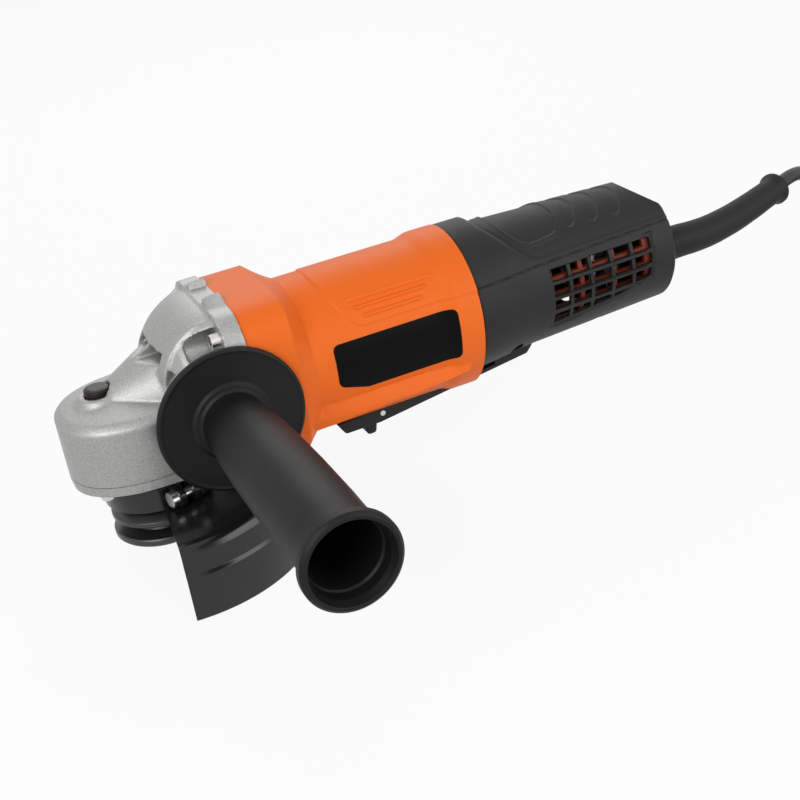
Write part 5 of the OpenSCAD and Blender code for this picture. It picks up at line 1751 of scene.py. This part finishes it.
@dataclass
class MotorHousing(Assembly):
    """Orange motor housing with its raised top panel, ribs, label recess and skirt.

    Heights in this class are counted from the motor axis.

    Attributes:
        front: Front face against the gear case.
        end: Rear face against the handle's collar.
        barrel: Radius of the barrel.
        flange: Half width at the front.
        flange_top: Half height at the front.
        belly: Reach of the barrel straight down.
        skirt_half: Half width of the skirt under the barrel.
        paddle_half: Half width of the channel over the paddle.
        panel: Height of the raised top panel's step.
        rib: Height of the ribs.
        ribs: Front end, rear end and height above the axis of each rib on a side.
        label: Label from front to rear, and its upper and lower edge.
        lines: Both ends of each sunk line on the flank.
    """

    front: float = 42.6
    end: float = 146.6
    barrel: float = 31.5
    flange: float = 34.8
    flange_top: float = 35.5
    belly: float = 38.0
    skirt_half: float = 31.0
    paddle_half: float = 15.7
    panel: float = 0.55
    rib: float = 1.0
    ribs: tuple[Point, ...] = ((90.3, 130.5, 23.4), (92.2, 126.3, 20.5), (95.8, 122.7, 17.3))
    label: tuple[float, float, float, float] = (78.9, 135.5, 9.7, -13.2)
    lines: tuple[tuple[Point, Point], ...] = (((76, -17.0), (121, -16.3)), ((81, -19.4), (124, -18.6)))

    def _round(self, x: np.ndarray, off: np.ndarray) -> np.ndarray:
        """Radius of the plain moulding, a squircle at the front that turns into a barrel.

        Args:
            x: Places along X.
            off: Angles from straight up.

        Returns:
            The radii.
        """
        s, c = np.abs(np.sin(off)), np.cos(off)
        low = np.where(c < 0, 0.985, 1.0)
        circle = self.barrel / np.sqrt(s * s + (c * np.where(c < 0, self.barrel / self.belly, 1)) ** 2)
        circle = np.where(c < 0, circle, self.barrel)
        power = 4.6
        square = ((s / self.flange) ** power + (np.abs(c) / self.flange_top) ** power) ** (-1 / power)
        share = np.clip((70.5 - x) / 8.5, 0, 1)
        flare = circle + (square - circle) * share
        flare = np.where(x < 62, square, flare)
        return flare + 1.8 * smooth(np.clip((x - 128.6) / 8, 0, 1)) * low

    def outer(self, x: np.ndarray, t: np.ndarray) -> np.ndarray:
        """Outer radius with every raised and sunk part.

        Args:
            x: Places along X.
            t: Angles.

        Returns:
            The radii.
        """
        off = angle_off(t)
        base = self._round(x, off)
        arc = np.degrees(off)
        z = base * np.cos(off)
        side = base * np.sin(off)
        # raised panel over the top, with a slanted front end
        turned = (0, 13.6, 27.7, 40.5, 50.5, 58.3, 66)
        edge = np.interp(arc, turned, (81.6, 81.7, 83.3, 85.1, 87.2, 89.9, 93))
        panel = blend_max(edge - x, 13.6 - z, 3.0)
        groove = 0.3 * within(np.abs(panel - 0.4) - 0.2, 0.0, 0.4)
        out = base + self.panel * within(panel, 0.0, 0.5) - groove
        # three ribs on each side of the panel
        bars = np.full(x.shape, 1e3)
        per_degree = 0.56  # length of a degree on the barrel
        for x0, x1, height in self.ribs:
            lift = math.degrees(math.acos(height / (self.barrel + self.panel)))
            bar = stroke(x, (arc - lift) * per_degree, (x0 + 0.8, 0), (x1 - 0.8, 0), 0.75)
            bars = np.minimum(bars, bar)
        out += self.rib * within(bars, 0.0, 0.35)
        # shallow recess of the label
        out -= 0.15 * within(self.label_field(x, z, 0.9), 0.0, 0.4)
        # front lip
        out -= 0.8 * np.clip(1 - (x - self.front) / 0.8, 0, 1) ** 2
        # skirt, and the sunk lines above it
        out = np.maximum(out, self._skirt(x, off))
        low_line = np.minimum(*(stroke(x, z, one, other, 0.35) for one, other in self.lines))
        out -= 0.3 * within(low_line, 0.0, 0.3) * (side > 20)
        return out

    def label_field(self, x: np.ndarray, z: np.ndarray, grow: float) -> np.ndarray:
        """Distance to the label's outline, seen from the side.

        Args:
            x: Places along X.
            z: Heights above the motor axis.
            grow: How much wider than the label.

        Returns:
            The field.
        """
        x0, x1, top, low = self.label
        ends = np.abs(x - (x0 + x1) / 2) - (x1 - x0) / 2
        shape = plate_field(ends, np.abs(z - (top + low) / 2) - (top - low) / 2, 3)
        slant = (x0 + 13 - x) * 0.31 + (low - z) * 0.95
        return blend_max(shape, slant, 1.5) - grow

    def _skirt(self, x: np.ndarray, off: np.ndarray) -> np.ndarray:
        """Radius of the barrel's lower half with its flat-sided skirt.

        Args:
            x: Places along X.
            off: Angles from straight up.

        Returns:
            The radii.
        """
        s, c = np.sin(off), np.cos(off)
        down = np.where(c < -0.05, -c, 1e-3)
        # the side face runs from the ledge to the skirt's lower edge
        ledge = np.interp(x, (62, 68.8, 115, 138.6, 147), (-19.0, -19.4, -20.5, -21.2, -21.4))
        lower = (-24.8, -24.7, -23.7, -22.4, -22.0, -21.8)
        bottom = np.interp(x, (66, 68, 96.6, 131.8, 138.6, 147), lower)
        side = self.skirt_half / np.maximum(s, 1e-3)
        floor_r = -bottom / down
        skirt = np.minimum(side, floor_r)
        z = -skirt * down
        ends = np.clip((x - 62) / 1.5, 0, 1) * np.clip((140.5 - x) / 1.5, 0, 1)
        on = np.clip((ledge + 2 - z) / 4, 0, 1) * ends
        round_r = self._round(x, off)
        inside = (s * skirt < self.paddle_half + 1.6) & (c < 0)
        flat = np.minimum(round_r, np.where(x > 66, floor_r, round_r))
        hold = np.where(inside, np.minimum(round_r, 29.5 / down), flat)
        return np.where(c < 0, hold + (np.maximum(skirt, hold) - hold) * on * (skirt > hold), hold)

    def inner(self, x: np.ndarray, t: np.ndarray) -> np.ndarray:
        """Inner radius of the wall.

        Args:
            x: Places along X.
            t: Angles.

        Returns:
            The radii.
        """
        off = angle_off(t)
        plain = np.minimum(self._round(x, off) - 2.4, np.where(np.cos(off) < 0, 28.6, 29.1) + 0 * x)
        return np.minimum(plain, self.outer(x, t) - 0.8)

    def build(self) -> None:
        """Makes the moulding and both label plates."""
        stations = places(
            self.front + np.array([0, 0.15, 0.35, 0.6, 0.9]),
            np.arange(self.front + 1.4, 61.5, 1.6),
            np.arange(61.5, 72.5, 0.5),
            np.arange(72.5, 100, 0.42),
            np.arange(100, 121, 0.9),
            np.arange(121, 138, 0.42),
            np.arange(138, self.end, 0.9),
            [self.end],
        )
        shell = Shell("motor_shell", self.outer, self.inner, stations, angles=480).build()
        self.settle(shell, "orange_housing", "root", "motor_housing")
        self._labels()

    def _labels(self) -> None:
        """Makes the plates without any print, bent to the barrel."""
        x0, x1, top, low = self.label
        u0, v0 = (x0 + x1) / 2, (top + low) / 2
        outline = self._label_outline()
        rings, n = 12, len(outline)
        shares = [r / rings for r in range(rings + 1)]
        flat = [(u0 + (u - u0) * share, v0 + (v - v0) * share) for share in shares for u, v in outline]
        faces = grid_faces(rings + 1, n)
        faces += [tuple(p + len(flat) for p in face) for face in faces]
        rim = rings * n
        for k in range(n):
            m = (k + 1) % n
            faces.append((rim + k, rim + m, rim + m + len(flat), rim + k + len(flat)))
        plates = []
        for side in (-1, 1):
            points = [self._bent(x, z, lift, side) for lift in (-0.6, 0.2) for x, z in flat]
            plates.append(as_object("plate", points, faces, 40))
        label = joined("label_plates_bent", plates)
        self.settle(label, "label_black", "root", "label_plates")

    def _bent(self, x: float, z: float, lift: float, side: int) -> Point:
        """Lays a point of a flat plate on the barrel.

        Args:
            x: Its place along X.
            z: Its height above the motor axis.
            lift: How far it stands proud of the barrel.
            side: 1 or -1 for the side along Y.

        Returns:
            The point.
        """
        base = float(self._round(np.array(x), np.array(math.acos(z / self.barrel))))
        off = math.acos(z / base)
        radius = base + lift
        return x, side * radius * math.sin(off), AXIS_Z + radius * math.cos(off)

    def _label_outline(self) -> list[tuple[float, float]]:
        """Outline of a label with rounded corners and its slanted lower front corner.

        Returns:
            Its points, close enough to follow the barrel.
        """
        x0, x1, top, low = self.label
        corners = [(x0, top, 3), (x1, top, 3), (x1, low, 3), (x0 + 13, low, 4), (x0, low + 4.3, 4)]
        outline = rounded(corners, closed=True, steps=8)
        dense: list[tuple[float, float]] = []
        for i, (u, v) in enumerate(outline):
            p, q = outline[(i + 1) % len(outline)]
            parts = max(1, int(math.hypot(p - u, q - v) / 2.5))
            dense += [(u + (p - u) * s / parts, v + (q - v) * s / parts) for s in range(parts)]
        return dense


@dataclass
class RearHandle(Assembly):
    """Black round rear handle: collar, palm rise, thumb pad, finger grooves, vents and a flat tail.

    Heights in this class are counted from the motor axis.

    Attributes:
        front: Front face of the collar.
        end: Flat rear face.
        wall: Thickness of the walls.
        tail: Where the top starts to fall to the rear face.
        vent: Outline of the air window on each side.
        pad: Outline of the thumb pad as (x, distance from the middle).
        grooves: Where each finger groove meets the flanks.
        vent_row: Distance between the rows of openings.
        vent_column: Distance between the columns.
        bore: Radius of the counterbores.
    """

    front: float = 146.6
    end: float = 248.0
    wall: float = 2.4
    tail: float = 237.0
    vent: tuple[Point, ...] = (
        (183, 12.2), (236.2, 12.7), (236.1, 2.5), (234.9, -7.6), (218.3, -12.7), (183, -16.4),
    )
    pad: tuple[Point, ...] = (
        (168.9, -4), (168.9, 5), (170, 10.8), (172, 15.7), (174.9, 19), (178.2, 20.7), (183.9, 20.3),
        (191, 19.4), (193.7, 18.3), (196.1, 13.9), (197.5, 8.3), (197.9, 0), (197.9, -4),
    )
    grooves: tuple[float, float, float] = (201.8, 213.5, 225.0)
    vent_row: float = 7.2
    vent_column: float = 10.9
    bore: float = 3.1

    def _facet(self, x: np.ndarray, off: np.ndarray, sink: float = 0.0) -> np.ndarray:
        """Radius of the flat that falls to the rear face."""
        c = np.maximum(np.cos(off), 0.05)
        return np.where(np.cos(off) > 0.05, (28.4 - sink - 0.709 * (x - self.tail)) / c, 99.0)

    @staticmethod
    def _cone(x: np.ndarray) -> np.ndarray:
        """Radius of the plain tapering body."""
        return 31.2 - 3.3 * (x - 154.6) / 92

    @staticmethod
    def _valley(y: np.ndarray) -> np.ndarray:
        """Place along X of the valley between the collar's crown and the palm rise."""
        across = (1.3, 8.1, 12.8, 16.7, 19.5, 22.5, 24.3, 26.0)
        return np.interp(y, across, (160.6, 161.8, 164, 166.5, 168.6, 172.5, 176.2, 181.0))

    def _body(self, x: np.ndarray, off: np.ndarray) -> np.ndarray:
        """Radius of the collar, the flanks and the palm rise, before the small forms.

        Args:
            x: Places along X.
            off: Angles from straight up.

        Returns:
            The radii.
        """
        cone = self._cone(x)
        y, z = cone * np.sin(off), cone * np.cos(off)
        along = np.clip((x - 150) / 30, 0, 1)
        flank = np.minimum(cone + 0.35 + 1.5 * (1 - smooth(along)), 33.3)
        step = np.clip((x - 164) / 14, 0, 1)
        crown = np.clip((z - 8) / 14, 0, 1) * (1 - smooth(step))
        out = flank + (33.5 - flank) * crown
        rise = within(self._valley(y) - x, 0.0, 2.8) * within(17 - z, 0.0, 0.8)
        return out + (cone - out) * rise

    def outer(self, x: np.ndarray, t: np.ndarray) -> np.ndarray:
        """Outer radius.

        Args:
            x: Places along X.
            t: Angles.

        Returns:
            The radii.
        """
        off = angle_off(t)
        out = self._body(x, off)
        y, z = out * np.sin(off), out * np.cos(off)
        # rolled front edge, and a low ridge that follows the valley
        out = out - 1.0 * np.clip(1 - (x - self.front) / 1.0, 0, 1) ** 2
        on_top = np.clip((z - 16.5) / 2, 0, 1)
        out -= 0.5 * within(np.abs(x - self._valley(y) - 2.2) - 0.6, 0.0, 1.0) * on_top
        # thumb pad, a shallow dish inside a thin ridge
        pad = outline_field(x, np.maximum(y, 0), list(self.pad))
        out += on_top * (-0.55 * within(pad, -0.6, 0.8) + 0.35 * within(np.abs(pad) - 0.7, 0.0, 0.6))
        # finger grooves that bow backwards at the middle
        for x0 in self.grooves:
            bow = x0 + 4.8 * (1 - (np.minimum(y, 17) / 16) ** 2)
            gap = np.hypot(x - bow, np.maximum(y - 15.2, 0)) - 2.3
            out -= 0.9 * within(gap, 0.0, 0.7) * on_top
        # seam between the halves
        seam = 14.2 + 0.018 * (x - self.front)
        out -= 0.5 * np.exp(-(((z - seam) / 0.4) ** 2))
        # air window: sunk rim and sunk upright bars
        rim = outline_field(x, z, list(self.vent))
        side = np.sin(off) > 0.5
        low_edge = np.clip((-2 - z) / 6, 0, 1) + np.clip((x - 231) / 4, 0, 1)
        row = np.abs(self._rows(z))
        out -= 0.9 * within(rim, 0.9, 0.5) * np.clip(low_edge, 0, 1) * side * (row > 2.75)
        out -= 0.9 * within(rim, 0.0, 0.4) * (row < 2.75) * side
        # flat at the tail, and the edge of the rear face
        out = np.minimum(out, self._facet(x, off))
        return out - 1.4 * np.clip((x - self.end + 1.4) / 1.4, 0, 1)

    def _rows(self, z: np.ndarray) -> np.ndarray:
        """Height above the middle of the nearest row of openings."""
        return (z - 8.85 + self.vent_row / 2) % self.vent_row - self.vent_row / 2

    def inner(self, x: np.ndarray, t: np.ndarray) -> np.ndarray:
        """Inner radius.

        Args:
            x: Places along X.
            t: Angles.

        Returns:
            The radii.
        """
        off = angle_off(t)
        plain = np.where(x < 157, 30.6, self._cone(x) - self.wall)
        return np.minimum(plain, self._facet(x, off, 2.8))

    def holes(self, x: np.ndarray, t: np.ndarray) -> np.ndarray:
        """Openings of the air window, the counterbores and the room for the paddle.

        Args:
            x: Places along X.
            t: Angles.

        Returns:
            True where there's no wall.
        """
        off = angle_off(t)
        base = self._body(x, off)
        y, z = base * np.sin(off), base * np.cos(off)
        rim = outline_field(x, z, list(self.vent))
        across = np.maximum(np.abs((x - 182.4) % self.vent_column - 4.75) - 3.95, 0)
        cell = np.hypot(across, np.maximum(np.abs(self._rows(z)) - 1.85, 0)) < 0.8
        openings = cell & (rim < -0.7) & (y > 20) & (z > -15.6)
        room = (y < 15.7) & (z < -20) & (x < 178.5)
        bores = np.zeros(x.shape, dtype=bool)
        for at, half in HANDLE_SCREWS:
            bores |= (np.hypot(x - at, y - half) < self.bore) & (z < 0)
        return openings | room | bores

    def build(self) -> None:
        """Makes the moulding and the end wall."""
        stations = places(
            self.front + np.array([0, 0.15, 0.35, 0.6, 0.9]),
            np.arange(self.front + 1.5, 159, 0.9),
            np.arange(159, 238, 0.42),
            np.arange(238, self.end - 1.5, 0.7),
            self.end + np.array([-1.4, -0.7, 0.0]),
        )
        shell = Shell("rear_handle_shell", self.outer, self.inner, stations, self.holes, angles=440).build()
        whole = joined("rear_handle_moulding", [shell, self._end_wall(), *self._bores()])
        self.settle(whole, "black_housing", "root", "rear_handle_lower", "rear_handle_upper")

    def _bores(self) -> list[bpy.types.Object]:
        """Makes the short walls of the counterbores under the handle.

        Returns:
            The walls, not joined yet.
        """
        walls = []
        for at, half in HANDLE_SCREWS:
            low = 1.0 - math.sqrt(float(self._cone(np.array(at))) ** 2 - (half + self.bore) ** 2)
            profile = [(3.0, low), (4.0, low), (4.0, -16.2), (3.0, -16.2)]
            for side in (-1, 1):
                place = Matrix.Translation((at, side * half, AXIS_Z))
                walls.append(lathe("bore_wall", profile, place, 40, closed=True))
        return walls

    def _end_wall(self) -> bpy.types.Object:
        """Makes the flat wall that closes the tail round the lead guard.

        Returns:
            The wall, not joined yet.
        """
        sides, hole_r, hole_z = 160, 7.3, -8
        turn = np.linspace(0, 2 * math.pi, sides, endpoint=False)
        hole = np.stack([-hole_r * np.sin(turn), hole_z + hole_r * np.cos(turn)], axis=-1)
        edge_r = self.inner(np.full(turn.shape, self.end), turn) + 0.4
        edge = np.stack([-edge_r * np.sin(turn), edge_r * np.cos(turn)], axis=-1)
        near, far = 245.4, 248.02
        rings = []
        for share, x in ((0.0, near), (0.0, 247.7), (0.05, far), (0.5, far), (1.0, far), (1.0, near)):
            flat = hole + (edge - hole) * share
            rings.append(np.stack([0 * turn + x, flat[:, 0], flat[:, 1] + AXIS_Z], axis=-1))
        faces = grid_faces(len(rings), sides, wrap_rows=True)
        return as_object("end_wall", np.concatenate(rings), faces, 50)


# ---------------------------------------------------------------- screws


@dataclass
class ScrewTree:
    """Geometry Nodes tree that puts one cross-recess screw at each vertex.

    A screw's seat is at the vertex; its head is below and its shank above, before the turn.

    Attributes:
        tree: The node tree.
    """

    tree: bpy.types.NodeTree = field(init=False)

    def __post_init__(self) -> None:
        """Builds the tree."""
        tree = self.tree = bpy.data.node_groups.new("screws", "GeometryNodeTree")
        kinds = {"Geometry": "Geometry"}
        sizes = ("Head Radius", "Head Height", "Shank Radius", "Shank Length", "Recess Width", "Recess Depth")
        kinds |= {**dict.fromkeys(sizes, "Float"), "Turn": "Vector", "Material": "Material"}
        for name, kind in kinds.items():
            tree.interface.new_socket(name, in_out="INPUT", socket_type=f"NodeSocket{kind}")
        tree.interface.new_socket("Geometry", in_out="OUTPUT", socket_type="NodeSocketGeometry")
        given = add(tree, "NodeGroupInput").outputs
        join = add(tree, "GeometryNodeJoinGeometry")
        tree.links.new(self._head(given), join.inputs[0])
        tree.links.new(self._shank(given), join.inputs[0])
        seats = {"Points": given["Geometry"], "Instance": join.outputs[0], "Rotation": given["Turn"]}
        place = add(tree, "GeometryNodeInstanceOnPoints", seats)
        real = add(tree, "GeometryNodeRealizeInstances", {0: place.outputs[0]})
        dress = {"Geometry": real.outputs[0], "Material": given["Material"]}
        dressed = add(tree, "GeometryNodeSetMaterial", dress)
        add(tree, "NodeGroupOutput", {0: dressed.outputs[0]})

    def _moved(self, mesh: Socket, up: Socket) -> Socket:
        """Moves a mesh along Z."""
        move = add(self.tree, "ShaderNodeCombineXYZ", {"Z": up}).outputs[0]
        return add(self.tree, "GeometryNodeTransform", {"Geometry": mesh, "Translation": move}).outputs[0]

    def _head(self, given: Any) -> Socket:
        """Makes the head, with a narrower face and a cross recess.

        Args:
            given: The sockets of the tree's inputs.

        Returns:
            Its geometry.
        """
        tree = self.tree
        radius, wide = given["Head Radius"], given["Recess Width"]
        size = {"Radius Bottom": computed(tree, "MULTIPLY", radius, 0.84), "Radius Top": radius}
        cone = add(tree, "GeometryNodeMeshCone", {"Vertices": 40, **size, "Depth": given["Head Height"]})
        face = computed(tree, "MULTIPLY", given["Head Height"], -1.0)
        head = self._moved(cone.outputs["Mesh"], face)
        cutter = add(tree, "GeometryNodeMeshBoolean", {"Mesh 1": head}, operation="DIFFERENCE")
        across = computed(tree, "MULTIPLY", radius, 1.1)
        deep = computed(tree, "MULTIPLY", given["Recess Depth"], 2.0)
        for x, y in ((across, wide), (wide, across)):
            block = add(tree, "ShaderNodeCombineXYZ", {"X": x, "Y": y, "Z": deep}).outputs[0]
            arm = add(tree, "GeometryNodeMeshCube", {"Size": block})
            tree.links.new(self._moved(arm.outputs["Mesh"], face), cutter.inputs["Mesh 2"])
        return cutter.outputs["Mesh"]

    def _shank(self, given: Any) -> Socket:
        """Makes the plain shank behind the head.

        Args:
            given: The sockets of the tree's inputs.

        Returns:
            Its geometry.
        """
        size = {"Vertices": 28, "Radius": given["Shank Radius"], "Depth": given["Shank Length"]}
        rod = add(self.tree, "GeometryNodeMeshCylinder", size)
        middle = computed(self.tree, "MULTIPLY", given["Shank Length"], 0.499)
        return self._moved(rod.outputs["Mesh"], middle)

    def place(
        self, name: str, at: Sequence[Point], turn: Point, sizes: Sequence[float], dress: bpy.types.Material
    ) -> bpy.types.Object:
        """Makes one mesh of several screws.

        Args:
            name: Name of the object.
            at: The seats of the screws.
            turn: Turn of every screw, in degrees.
            sizes: Head radius and height, shank radius and length, recess width and depth.
            dress: Material of the screws.

        Returns:
            The object, without a modifier.
        """
        mesh = bpy.data.meshes.new(name)
        mesh.from_pydata([tuple(c * MM for c in point) for point in at], [], [])
        seed = linked(name, mesh)
        mod = seed.modifiers.new("screws", "NODES")
        mod.node_group = self.tree
        values = [*(size * MM for size in sizes), [math.radians(a) for a in turn], dress]
        inputs = [item for item in self.tree.interface.items_tree if item.in_out == "INPUT"][1:]
        for item, value in zip(inputs, values):
            mod[item.identifier] = value
        solid = bpy.data.meshes.new_from_object(seed.evaluated_get(bpy.context.evaluated_depsgraph_get()))
        bpy.data.objects.remove(seed)
        return linked(name, solid)


@dataclass
class Screws(Assembly):
    """Visible screws of the flange, the bearing box and the rear handle.

    Attributes:
        tree: The tree that makes them.
    """

    tree: ScrewTree = field(default_factory=ScrewTree)

    def build(self) -> None:
        """Makes each set of screws as one mesh."""
        off = (-FLANGE_SCREW, FLANGE_SCREW)
        flange = [(34.0, y, AXIS_Z + z) for y in off for z in off]
        plate = [(x, y * side, 22.0) for x, y in ((-22.5, 17), (13, 24.8)) for side in (-1, 1)]
        under = [(x, y * side, AXIS_Z - 16.8) for x, y in HANDLE_SCREWS for side in (-1, 1)]
        down, back = (0, 0, 0), (0, 90, 0)
        for name, node, at, turn, sizes in (
            ("flange_screws", "gear_case_screws", flange, back, (4.4, 3.4, 2.4, 26.0, 1.0, 1.8)),
            ("box_screws", "bearing_box_screws", plate, down, (3.4, 2.2, 2.0, 11.5, 0.8, 1.2)),
            ("shell_screws", "handle_screws", under, down, (2.9, 2.2, 1.6, 35.5, 0.7, 1.3)),
        ):
            obj = self.tree.place(name, at, turn, sizes, self.look["bright_steel"])
            self.settle(obj, "bright_steel", "root", node)


# ---------------------------------------------------------------- assembly


def main() -> None:
    """Builds the whole scene."""
    logging.basicConfig(level=logging.INFO, format="%(name)s: %(message)s")
    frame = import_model()
    look = Finishes()
    look.dress(frame)
    Studio().build()
    for part in (Lead, GearCase, MotorHousing, RearHandle, SideHandle, SpindleSet, Guard, Paddle, Screws):
        part(look).build()
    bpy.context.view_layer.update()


if __name__ == "__main__":
    main()
